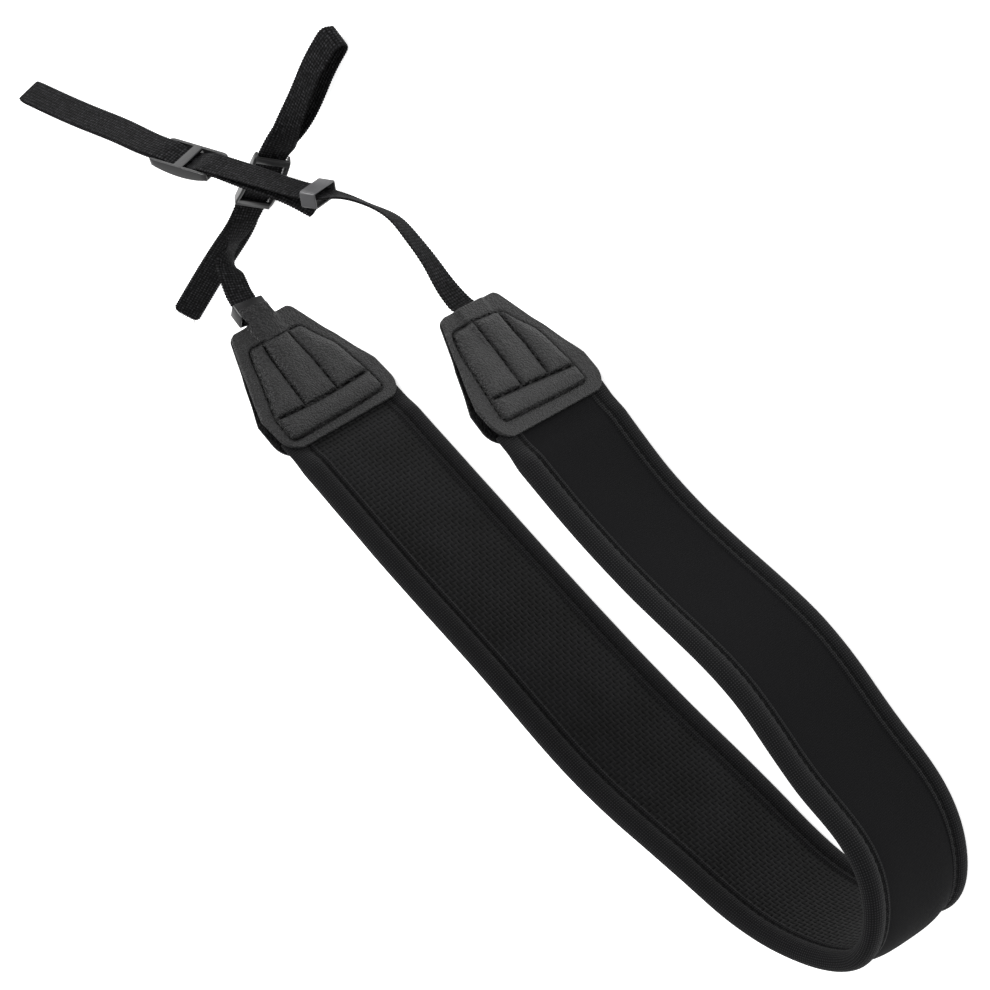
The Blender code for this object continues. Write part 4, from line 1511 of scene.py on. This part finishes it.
BACK_TAIL = (
    TailRow(142.7, -9.0, 4.9, 44.0),
    TailRow(143.7, 5.0, 4.2, 54.0),
    TailRow(145.6, 24.5, 3.2, 60.0),
    TailRow(147.0, 51.3, 3.0, 62.0),
)


class WeaveRow(NamedTuple):
    """The webbing's height off its route at one distance from the buckle's centre bar."""

    along: float
    height: float


WEAVE = (
    WeaveRow(-15.0, 0.0),
    WeaveRow(-10.3, 0.0),
    WeaveRow(-6.4, -1.2),
    WeaveRow(-2.6, -2.4),
    WeaveRow(2.6, -2.4),
    WeaveRow(6.4, -1.2),
    WeaveRow(10.3, 0.0),
    WeaveRow(15.0, 0.0),
)
SOFT_KERNEL = (0.25, 0.5, 0.25)  # takes the corners off that table


def lean_way(place: Array, lean_deg: Array) -> Array:
    """Width direction of a strap: upright, tipped by lean to the left of the way it runs.

    Args:
        place: points along the strap.
        lean_deg: the lean at each.

    Returns:
        One unit direction for each point.
    """
    way = np.gradient(place, axis=0)
    way[:, 2] = 0.0
    way = unit(way)
    left = np.stack([-way[:, 1], way[:, 0], np.zeros(len(way))], axis=-1)
    lean = np.radians(lean_deg)[:, None]
    return np.cos(lean) * np.array([0.0, 0.0, 1.0]) + np.sin(lean) * left


def strap_frame(place: Array, width_way: Array) -> tuple[Array, Array]:
    """Thickness direction and squared-up width direction of a strap along its centre line.

    Args:
        place: points along the strap.
        width_way: the width direction wanted at each.

    Returns:
        Unit thickness directions, and unit width directions square to them and to the line.
    """
    step = unit(np.diff(place, axis=0))
    along = np.concatenate([step[:1], unit(step[1:] + step[:-1]), step[-1:]])
    through = unit(np.cross(along, width_way))
    return through, np.cross(through, along)


@dataclass
class WebbingRoute:
    """One webbing's route: from its tab to the camera loop, back through the buckle, and its tail."""

    lead: Sequence[LeadRow]
    tail: Sequence[TailRow]
    buckle_row: int
    keeper_row: int
    turned_over: bool
    tail_start: float = -19.0
    gap_opens: Span = Span(-60.0, -22.0)
    fine_steps: int = 40
    fold_points: int = 7
    tail_steps: int = 12
    from_buckle: Array = field(init=False)
    line: Array = field(init=False)
    upright: Array = field(init=False)
    half_gap: Array = field(init=False)
    keeper: int = field(init=False)
    buckle: int = field(init=False)

    def __post_init__(self) -> None:
        """Reads the lead's spline at close, even stations."""
        columns = np.array(self.lead)
        fine_at = np.linspace(0.0, len(columns) - 1.0, 1 + self.fine_steps * (len(columns) - 1))
        fine = spline(columns, fine_at, axes=3)
        travelled = distances(fine[:, :3])
        travelled = travelled - travelled[self.fine_steps * self.buckle_row]
        even = np.arange(math.ceil(travelled[0]), math.floor(travelled[-1]) + 1.0)
        self.from_buckle = np.unique(np.concatenate([travelled[[0, -1]], even]).round(4))
        rows = np.stack([np.interp(self.from_buckle, travelled, column) for column in fine.T], axis=-1)
        self.line = rows[:, :3]
        self.upright = lean_way(self.line, rows[:, 3])
        self.half_gap = rows[:, 4]
        keeper = travelled[self.fine_steps * self.keeper_row]
        self.keeper = int(np.argmin(np.abs(self.from_buckle - keeper)))
        self.buckle = int(np.argmin(np.abs(self.from_buckle)))

    def layers(self, sewn_place: Array, sewn_width: Array) -> tuple[Array, Array, int]:
        """Centre line and width direction of the whole strap, end to end.

        Args:
            sewn_place: the centre line inside the tab.
            sewn_width: the width direction inside the tab.

        Returns:
            The centre line, the width direction, and the row in the middle of the loop's fold.
        """
        normal, width_way = strap_frame(self.line, self.upright)
        rows = np.array(WEAVE)
        height = np.interp(self.from_buckle, rows[:, 0], rows[:, 1])
        soft = np.convolve(np.pad(height, 1, mode="edge"), SOFT_KERNEL, mode="valid")
        weave = (-soft if self.turned_over else soft)[:, None]
        gap = (self.half_gap * ease(self.from_buckle, *self.gap_opens))[:, None]
        out = self.line + normal * (weave + gap)
        back = self.line + normal * (weave - self.half_gap[:, None])
        turn = np.radians(180.0 * np.arange(1, self.fold_points + 1) / (self.fold_points + 1))[:, None]
        onward = unit(self.line[-1] - self.line[-2])
        fold = self.line[-1] + gap[-1] * (np.cos(turn) * normal[-1] + np.sin(turn) * onward)
        kept = np.flatnonzero(self.from_buckle >= self.tail_start)[::-1]
        tail_rows = [tuple(back[kept[-1]])] + [(row.x, row.y, row.z) for row in self.tail]
        tail_at = np.linspace(0.0, len(self.tail), 1 + self.tail_steps * len(self.tail))
        tail = spline(np.array(tail_rows), tail_at, axes=3)
        lean = np.interp(tail_at, np.arange(1, len(self.tail) + 1), [row.lean_deg for row in self.tail])
        tail_width = -lean_way(tail, -lean)
        first = width_way[kept[-1]]
        share = np.clip(tail_at, 0.0, 1.0)[:, None]
        tail_width = tail_width * np.sign((tail_width[0] * first).sum())
        tail_width = unit((1.0 - share) * first + share * tail_width)
        folded = np.repeat(width_way[-1:], len(turn), axis=0)
        place = np.concatenate([sewn_place, out, fold, back[kept], tail[1:]])
        width = np.concatenate([sewn_width, width_way, folded, width_way[kept], tail_width[1:]])
        return place, width, len(sewn_place) + len(out) + len(turn) // 2

    def piece_frame(self, station: int, lift: float) -> tuple[Array, Array, Array, Array]:
        """Where a piece that the webbing runs through stands.

        Args:
            station: a station of the route.
            lift: how far the piece stands off the webbing's middle.

        Returns:
            The piece's centre, and its axes along, across and through.
        """
        along = unit(self.line[station + 1] - self.line[max(station - 1, 0)])
        through = unit(np.cross(along, self.upright[station]))
        across = np.cross(through, along)
        if self.turned_over:
            through, across = -through, -across
        return self.line[station] + through * lift, along, across, through


@dataclass(frozen=True)
class Fray:
    """The loose threads of a cut end; across and root_share are shares, and splay and fan are slopes."""

    threads: int = 15
    across: float = 0.8
    splay: float = 0.28
    fan: float = 0.45
    lengths: Span = Span(1.4, 3.0)
    inset: float = 0.5
    root_depth: float = 0.3
    root_share: float = 0.3
    radius: float = 0.12


@dataclass
class WovenStrap:
    """A narrow plain-woven strap that follows a route; each crossing of its threads is a raised pillow."""

    path: BandPath
    name: str
    route: WebbingRoute
    sewn: Sequence[SewnRow]
    at_start: bool
    fold_reach: float = 7.0
    fold_trim: float = 0.5
    fold_skew: float = 0.0
    end_radius: float = 1.0
    width: float = 10.7
    thick: float = 1.2
    selvedge: float = 0.55
    pick_pitch: float = 1.3
    ends_across: int = 9
    relief: float = 0.24
    scallop: float = 0.3
    pillow_power: float = 0.6
    edge_reach: float = 1.0
    edge_closing: float = 0.6
    scallop_reach: float = 1.2
    pick_samples: int = 3
    end_samples: int = 4
    smoothing: int = 11
    fray: Fray | None = None

    def build(self) -> None:
        """Makes and places the strap, and the loose threads of its cut end."""
        strap = make_piece(f"woven_{self.name}", self.surface(), WEBBING.material())
        place_piece(strap, [self.name])
        if self.fray is not None:
            threads = make_piece(f"frayed_end_{self.name}", self.frayed_end(self.fray), WEBBING.material())
            place_piece(threads)

    def centre_line(self) -> tuple[Array, Array, Array, float]:
        """The whole strap's centre line, at even distances and smoothed by a raised cosine.

        Returns:
            Centre points, width directions, distances from the sewn end, and the fold's distance.
        """
        sewn = np.array(self.sewn)
        along = sewn[:, 0] if self.at_start else self.path.total - sewn[:, 0]
        sewn_place = self.path.points(along, 0.0, sewn[:, 1])
        place, width_way, fold = self.route.layers(sewn_place, self.path.frame(along)[2])
        length = distances(place)
        picks = int(length[-1] / self.pick_pitch)
        even = np.linspace(0.0, length[-1], picks * self.pick_samples + 1)
        place = np.stack([np.interp(even, length, place[:, k]) for k in range(3)], axis=-1)
        width_way = np.stack([np.interp(even, length, width_way[:, k]) for k in range(3)], axis=-1)
        kernel = np.hanning(self.smoothing + 2)[1:-1]
        kernel = kernel / kernel.sum()
        longer = np.pad(place, ((self.smoothing // 2,) * 2, (0, 0)), mode="reflect", reflect_type="odd")
        smooth = [np.convolve(column, kernel, mode="valid") for column in longer.T]
        return np.stack(smooth, axis=-1), unit(width_way), even, float(length[fold])

    def surface(self) -> Surface:
        """Both faces at thickness / 2 - relief (1 - |sin(warp) sin(weft)|^power), thinner at the selvedges.

        Returns:
            The closed surface, hollow between its threads.
        """
        place, width_way, even, fold = self.centre_line()
        through, width_way = strap_frame(place, width_way)
        share = np.linspace(-1.0, 1.0, self.ends_across * self.end_samples + 1)[None, :]
        narrowing = rounded_off(np.abs(even - fold), self.fold_reach) * self.fold_trim / self.fold_reach
        trim = np.maximum(narrowing, rounded_off(even[-1] - even, self.end_radius))[:, None]
        half_width = self.width / 2.0
        across = share * (half_width - trim) - self.fold_skew * narrowing[:, None]
        count = (len(even) - 1) / self.pick_samples
        picks = np.abs(np.sin(math.pi * even / even[-1] * count))[:, None]
        ends = np.abs(np.sin(math.pi * (share + 1.0) / 2.0 * self.ends_across))
        pillow = (picks * ends) ** self.pillow_power
        off = np.abs(share) * half_width
        edge = 1.0 - (1.0 - self.selvedge) * ease(off, half_width - self.edge_reach, half_width)
        edge = edge * (1.0 - self.edge_closing * (np.abs(share) == 1.0))
        outward = self.scallop * (picks - 0.5) * ease(off, half_width - self.scallop_reach, half_width)
        spread = place[:, None] + width_way[:, None] * (across + outward * np.sign(share))[..., None]
        half = (self.thick / 2.0 - self.relief * (1.0 - pillow)) * edge
        near = spread + through[:, None] * half[..., None]
        far = spread - through[:, None] * half[..., None]
        flat = np.stack(np.broadcast_arrays(even[:, None], across), axis=-1)
        return thick_sheet(near, far, flat, 1.0 - pillow)

    def frayed_end(self, fray: Fray) -> Surface:
        """Short loose threads that fan out from the cut end, each with a random splay, length and root.

        Args:
            fray: how many threads there are, and how far they splay.

        Returns:
            One surface with every thread.
        """
        place, width_way, _, _ = self.centre_line()
        through, width_way = strap_frame(place, width_way)
        draw = np.random.default_rng(Seed.FRAY)
        count = fray.threads
        share = np.linspace(-fray.across, fray.across, count)
        fan = np.stack([share * fray.fan, np.zeros(count)], axis=-1)
        slope = draw.normal(0.0, fray.splay, (count, 2)) + fan
        onward = unit(place[-1] - place[-1 - self.pick_samples])
        way = unit(onward + slope[:, :1] * width_way[-1] + slope[:, 1:] * through[-1])
        length = draw.uniform(*fray.lengths, count)
        roots = (place[-1] + width_way[-1] * (share * (self.width / 2.0 - fray.inset))[:, None]
                 + through[-1] * draw.uniform(-fray.root_depth, fray.root_depth, count)[:, None])
        middles = roots + way * length[:, None] * fray.root_share
        return joined([stitch_row(middle[None], one[None], through[-1:], reach, fray.radius)
                       for middle, one, reach in zip(middles, way, length)])


class TongueRow(NamedTuple):
    """One place of the tongue on the tab: from its narrow end, and out from the band's middle."""

    from_end: float
    out: float


class KeeperRow(NamedTuple):
    """One place of the tongue on the keeper: along it from its middle, and off its face."""

    along: float
    lift: float


TONGUE_ON_TAB = (TongueRow(9.5, -1.9), TongueRow(6.5, -2.45), TongueRow(3.0, -2.75), TongueRow(0.4, -3.0))
TONGUE_ON_KEEPER = (KeeperRow(-3.4, 0.1), KeeperRow(-1.6, 0.15), KeeperRow(-0.2, 0.05))


@dataclass
class LeatherTongue:
    """The strip of a tab's leather that runs on over the near half of its keeper."""

    path: BandPath
    route: WebbingRoute
    keeper_half_depth: float = 3.2
    off_keeper: float = 0.6
    facing_at: float = 2.0
    height: float = 28.6
    width: float = 12.4
    thick: float = 0.8
    drape: float = 0.5
    rings: int = 44
    row_step: float = 3.0
    turn_over: Span = Span(2.0, 4.0)
    front_columns: int = 25
    back_columns: int = 9
    edge_radius: float = 0.5
    end_rows: float = 0.4
    edge_closing: float = 0.6
    crease: float = 0.10
    crease_length: float = 4.0

    def build(self) -> None:
        """Makes and places the tongue."""
        piece = make_piece("leather_tongue_back_arm", self.surface(), STRETCHED_LEATHER.material())
        place_piece(piece)

    def surface(self) -> Surface:
        """Rings along a spline from the tab over the keeper; each sags by drape * |share|^4 at its sides.

        Returns:
            The closed surface.
        """
        centre, along, across, through = self.route.piece_frame(self.route.keeper, 0.0)
        _, normal, up = self.path.frame(np.array([self.facing_at]))
        face = through * np.sign(-(through * normal[0]).sum())
        across = across * np.sign((across * up[0]).sum())
        tab_rows = np.array(TONGUE_ON_TAB)
        on_tab = self.path.points(tab_rows[:, 0], tab_rows[:, 1], self.height)
        reach = self.keeper_half_depth + self.thick * self.off_keeper
        on_keeper = [centre + along * row.along + face * (reach + row.lift) for row in TONGUE_ON_KEEPER]
        rows = np.concatenate([on_tab, on_keeper])
        at = np.linspace(0.0, len(rows) - 1.0, self.rings)
        middle = spline(rows, at, axes=3)
        turn = ease(at, *self.turn_over)[:, None]
        width_way = unit((1.0 - turn) * up + turn * across)
        out = unit(np.cross(np.gradient(middle, axis=0), width_way))
        out = out * np.sign((out * face).sum(axis=1, keepdims=True))
        share = np.concatenate([closer_at_ends(self.front_columns), -closer_at_ends(self.back_columns)])
        share = share[None, :]
        front = (np.arange(share.shape[1]) < self.front_columns)[None, :]
        end = (np.minimum(at, at[-1] - at) / self.end_rows)[:, None]
        rim = np.minimum((1.0 - np.abs(share)) * self.width / 2.0, end)
        fall = rounded_off(rim, self.edge_radius) / self.edge_radius
        body = np.where(front, 0.5, -0.5) * self.thick * (1.0 - self.edge_closing * fall)
        run = at[:, None] * self.row_step
        crease = self.crease * ripple(run, share * 6.0, self.crease_length, seed=Seed.TONGUE) * front
        lift = body + crease - self.drape * share ** 4
        rings = (middle[:, None] + width_way[:, None] * (share * self.width / 2.0)[..., None]
                 + out[:, None] * lift[..., None])
        flat = np.stack(np.broadcast_arrays(run, share * self.width / 2.0), axis=-1)
        return ring_tube(rings, flat, ends_meet=False)


# ---------------------------------------------------------------- the plastic fittings

def rounded_section(wide: float, deep: float, radius: float, corner_points: int) -> Array:
    """Points round a rectangle with rounded corners: each corner's middle + radius (cos, sin).

    Args:
        wide: its first side.
        deep: its second side.
        radius: corner radius.
        corner_points: points on each corner.

    Returns:
        The points, (count, 2), round zero.
    """
    corner = np.arange(4)[:, None]
    turn = np.radians(90.0 * corner + np.linspace(0.0, 90.0, corner_points)[None, :])
    middle_x = (wide / 2.0 - radius) * np.where((corner == 0) | (corner == 3), 1.0, -1.0)
    middle_y = (deep / 2.0 - radius) * np.where(corner < 2, 1.0, -1.0)
    section = np.stack([middle_x + radius * np.cos(turn), middle_y + radius * np.sin(turn)], axis=-1)
    return section.reshape(-1, 2)


def carried(shape: Surface, frame_at: tuple[Array, Array, Array, Array]) -> Surface:
    """A surface moved from its own axes to a centre with axes along, across and through.

    Args:
        shape: a surface on its own axes.
        frame_at: the centre, and the axes along, across and through.

    Returns:
        The surface in its place.
    """
    centre, along, across, through = frame_at
    turn = np.stack([along, across, through])
    return shape._replace(points=centre + shape.points @ turn)


@dataclass
class Keeper:
    """A rounded sleeve that holds the webbing's layers together, open from end to end."""

    name: str
    route: WebbingRoute
    length: float = 6.8
    width: float = 13.1
    depth: float = 6.4
    wall: float = 0.8
    radius: float = 1.0
    inner_radius: float = 0.35
    corner_points: int = 7
    bevel: float = 0.3
    bevel_points: int = 4
    finish: Finish = KEEPER_ACETAL_PAINTED_LIGHTER

    def build(self) -> None:
        """Makes and places the keeper."""
        place_at = self.route.piece_frame(self.route.keeper, 0.0)
        piece = make_piece(f"moulded_{self.name}", carried(self.sleeve(), place_at), self.finish.material(),
                           MOULDED_SHARP_DEG)
        place_piece(piece, [self.name])

    def sleeve(self) -> Surface:
        """Rings along the outside, over a rolled end, back along the inside, and round to the start.

        Returns:
            The closed surface, open from end to end.
        """
        roll = np.radians(np.linspace(90.0, 0.0, self.bevel_points))
        outer_x = self.length / 2.0 - self.bevel + self.bevel * np.cos(roll)
        outer_inset = self.bevel - self.bevel * np.sin(roll)
        inner_inset = self.wall - self.bevel + self.bevel * np.sin(roll[::-1])
        end_x = np.concatenate([outer_x, outer_x[::-1]])
        end_inset = np.concatenate([outer_inset, inner_inset])
        ring_x = np.concatenate([end_x, -end_x[::-1]])
        ring_inset = np.concatenate([end_inset, end_inset[::-1]])
        rings = []
        for at, by in zip(ring_x, ring_inset):
            section = rounded_section(self.width - 2.0 * by, self.depth - 2.0 * by,
                                      max(self.radius - by, self.inner_radius), self.corner_points)
            rings.append(np.column_stack([np.full(len(section), at), section]))
        rings = np.array(rings)
        return ring_tube(rings, rings[..., :2], ends_meet=True)


class BarSize(NamedTuple):
    """A cross bar: where it stands along the buckle, its length that way, and its back and front."""

    at: float
    length: float
    back: float
    front: float


@dataclass
class SlideBuckle:
    """A three-bar slide buckle: two bellied rails, a centre bar in front and two end bars set back."""

    name: str
    route: WebbingRoute
    length: float = 29.0
    rail_gap: float = 11.6
    rail_width: float = 1.3
    rail_front: float = 2.6
    rail_depth: float = 5.2
    rail_end_depth: float = 3.0
    end_round: float = 2.6
    end_trim: float = 0.72
    rail_rings: int = 41
    rail_radius: float = 0.5
    rail_radius_share: float = 0.48
    rail_corner_points: int = 6
    centre_bar: BarSize = BarSize(0.0, 4.4, 1.4, 2.6)
    end_bar: BarSize = BarSize(12.7, 3.2, -0.9, 0.4)
    bar_radius: float = 0.4
    bar_corner_points: int = 7
    bar_sunk: float = 0.8
    set_back: float = 2.05

    def build(self) -> None:
        """Joins the rails and bars into one moulding and places it."""
        place_at = self.route.piece_frame(self.route.buckle, -self.set_back)
        dark = BUCKLE_PLASTIC.material()
        both = joined([self.rail(-1.0), self.rail(1.0)])
        rails = make_piece(f"moulded_{self.name}", carried(both, place_at), dark, MOULDED_SHARP_DEG)
        bars = [self.bar(self.centre_bar, 1.0), self.bar(self.end_bar, 1.0), self.bar(self.end_bar, -1.0)]
        cross = make_piece("bars", carried(joined(bars), place_at), dark, MOULDED_SHARP_DEG)
        union = rails.modifiers.new("bars", "BOOLEAN")
        union.operation = "UNION"
        union.solver = "EXACT"
        union.object = cross
        whole = bpy.data.meshes.new_from_object(rails.evaluated_get(bpy.context.evaluated_depsgraph_get()))
        rails.modifiers.clear()
        rails.data = whole
        bpy.data.objects.remove(cross, do_unlink=True)
        place_piece(rails, [self.name])

    def rail(self, side: float) -> Surface:
        """A rail: depth falls with (x / half)^2 towards both ends, whose corners are rounded off.

        Args:
            side: -1 or 1 across the buckle.

        Returns:
            The closed surface on the buckle's own axes.
        """
        half = self.length / 2.0
        reach = half * np.sin(np.linspace(-math.pi / 2.0, math.pi / 2.0, self.rail_rings))
        rings = []
        for x in reach:
            depth = self.rail_depth - (self.rail_depth - self.rail_end_depth) * (x / half) ** 2
            corner = max(1.0 - (half - abs(x)) / self.end_round, 0.0)
            trim = self.end_trim * (1.0 - math.sqrt(max(1.0 - corner ** 2, 0.0)))
            wide = self.rail_width - trim
            radius = min(self.rail_radius, self.rail_radius_share * wide)
            section = rounded_section(wide, depth - trim, radius, self.rail_corner_points)
            section[:, 0] += side * (self.rail_gap + wide) / 2.0
            section[:, 1] += self.rail_front - depth / 2.0
            rings.append(np.column_stack([np.full(len(section), x), section]))
        rings = np.array(rings)
        return ring_tube(rings, rings[..., :2], ends_meet=False)

    def bar(self, size: BarSize, sign: float) -> Surface:
        """A cross bar with soft edges, its ends sunk into both rails.

        Args:
            size: the bar's place and sizes.
            sign: -1 or 1 for the end of the buckle that it is at.

        Returns:
            The closed surface on the buckle's own axes.
        """
        section = rounded_section(size.length, size.front - size.back, self.bar_radius,
                                  self.bar_corner_points)
        section = section + [sign * size.at, (size.front + size.back) / 2.0]
        y = np.array([-1.0, 1.0]) * (self.rail_gap / 2.0 + self.bar_sunk)
        rings = np.stack([np.column_stack([section[:, 0], np.full(len(section), end), section[:, 1]])
                          for end in y])
        return ring_tube(rings, rings[..., :2], ends_meet=False)


# ---------------------------------------------------------------- the studio

class Softbox(NamedTuple):
    """A square soft light that faces the strap: its place and size in metres, and its power in watts."""

    name: str
    place: tuple[float, float, float]
    size: float
    watts: float


@dataclass(frozen=True)
class Studio:
    """The pale floor, the soft lights and the camera."""

    distance: float = 1.5
    elevation_deg: float = 43.0
    heading_deg: float = 20.0
    roll_deg: float = -119.9
    lens: float = 146.8
    sensor: float = 36.0
    floor_half: float = 4.0
    surround: float = 0.8
    softboxes: tuple[Softbox, ...] = (
        Softbox("tab_side_softbox", (0.85, -0.25, 0.72), 0.5, 10.0),
        Softbox("camera_side_fill", (-1.1, -1.5, 1.3), 1.4, 3.0),
    )

    def build(self) -> None:
        """Makes the floor, the lights and the camera."""
        self.floor()
        self.world()
        for softbox in self.softboxes:
            self.light(softbox)
        self.camera()
        bpy.context.scene.view_settings.view_transform = "Standard"

    def floor(self) -> None:
        """A plain white sweep under the strap."""
        h = self.floor_half
        mesh = bpy.data.meshes.new("floor")
        mesh.from_pydata([(-h, -h, 0.0), (h, -h, 0.0), (h, h, 0.0), (-h, h, 0.0)], [], [(0, 1, 2, 3)])
        mesh.materials.append(WHITE_SWEEP.material())
        floor = bpy.data.objects.new("floor", mesh)
        bpy.context.collection.objects.link(floor)

    def world(self) -> None:
        """Even white light from all round."""
        world = bpy.data.worlds.new("studio")
        world.use_nodes = True
        background = world.node_tree.nodes["Background"]
        background.inputs["Color"].default_value = (1.0, 1.0, 1.0, 1.0)
        background.inputs["Strength"].default_value = self.surround
        bpy.context.scene.world = world

    def light(self, softbox: Softbox) -> None:
        """Adds one soft light, turned to face the middle of the strap.

        Args:
            softbox: the light's name, place, size and power.
        """
        lamp = bpy.data.lights.new(softbox.name, "AREA")
        lamp.energy = softbox.watts
        lamp.size = softbox.size
        holder = bpy.data.objects.new(softbox.name, lamp)
        back = unit(np.array(softbox.place))
        right = unit(np.cross([0.0, 1.0, 0.01], back))  # any way square to back will do
        turn = np.eye(4)
        turn[:3, :3] = np.column_stack([right, np.cross(back, right), back])
        turn[:3, 3] = softbox.place
        holder.matrix_world = Matrix(turn.tolist())
        bpy.context.collection.objects.link(holder)

    def camera(self) -> None:
        """The camera at the photograph's angle: above, turned and rolled."""
        up, head, roll = (math.radians(a) for a in (self.elevation_deg, self.heading_deg, self.roll_deg))
        view = np.array([math.cos(up) * math.sin(head), math.cos(up) * math.cos(head), -math.sin(up)])
        level = np.array([math.cos(head), -math.sin(head), 0.0])
        above = np.cross(level, view)
        right = math.cos(roll) * level + math.sin(roll) * above
        turn = np.eye(4)
        turn[:3, :3] = np.column_stack([right, np.cross(-view, right), -view])
        aim = np.array([-PLAN_CENTRE[0], -PLAN_CENTRE[1], 0.0]) * MM
        turn[:3, 3] = aim - view * self.distance
        data = bpy.data.cameras.new("camera")
        data.lens = self.lens
        data.sensor_width = self.sensor
        holder = bpy.data.objects.new("camera", data)
        holder.matrix_world = Matrix(turn.tolist())
        bpy.context.collection.objects.link(holder)
        bpy.context.scene.camera = holder


def main() -> None:
    """Builds the studio and then the strap's parts in order."""
    logging.basicConfig(level=logging.INFO, format="%(name)s %(message)s")
    Studio().build()
    path = BandPath()
    PaddedBand(path).build()
    arms = (("back_arm", True, BACK_TAB, BACK_QUILTING, BACK_SEWN),
            ("front_arm", False, FRONT_TAB, FRONT_QUILTING, FRONT_SEWN))
    for arm, at_start, size, quilting, sewn in arms:
        for side in Side:
            LeatherTab(path, f"{side.name.lower()}_tab_{arm}", at_start, side, size, quilting, sewn).build()
    front = WebbingRoute(FRONT_LEAD, FRONT_TAIL, buckle_row=13, keeper_row=8, turned_over=False)
    back = WebbingRoute(BACK_LEAD, BACK_TAIL, buckle_row=9, keeper_row=1, turned_over=True)
    WovenStrap(path, "webbing_front_arm", front, FRONT_SEWN, at_start=False).build()
    WovenStrap(path, "webbing_back_arm", back, BACK_SEWN, at_start=True, fold_trim=0.8, fold_skew=0.5,
               end_radius=2.2, fray=Fray()).build()
    LeatherTongue(path, back).build()
    # The front arm's keeper is painted lighter, as painted light; the back arm's keeper is black.
    fittings = (("front_arm", front, KEEPER_ACETAL_PAINTED_LIGHTER), ("back_arm", back, BUCKLE_PLASTIC))
    for arm, route, finish in fittings:
        Keeper(f"keeper_{arm}", route, finish=finish).build()
        SlideBuckle(f"buckle_{arm}", route).build()


if __name__ == "__main__":
    main()
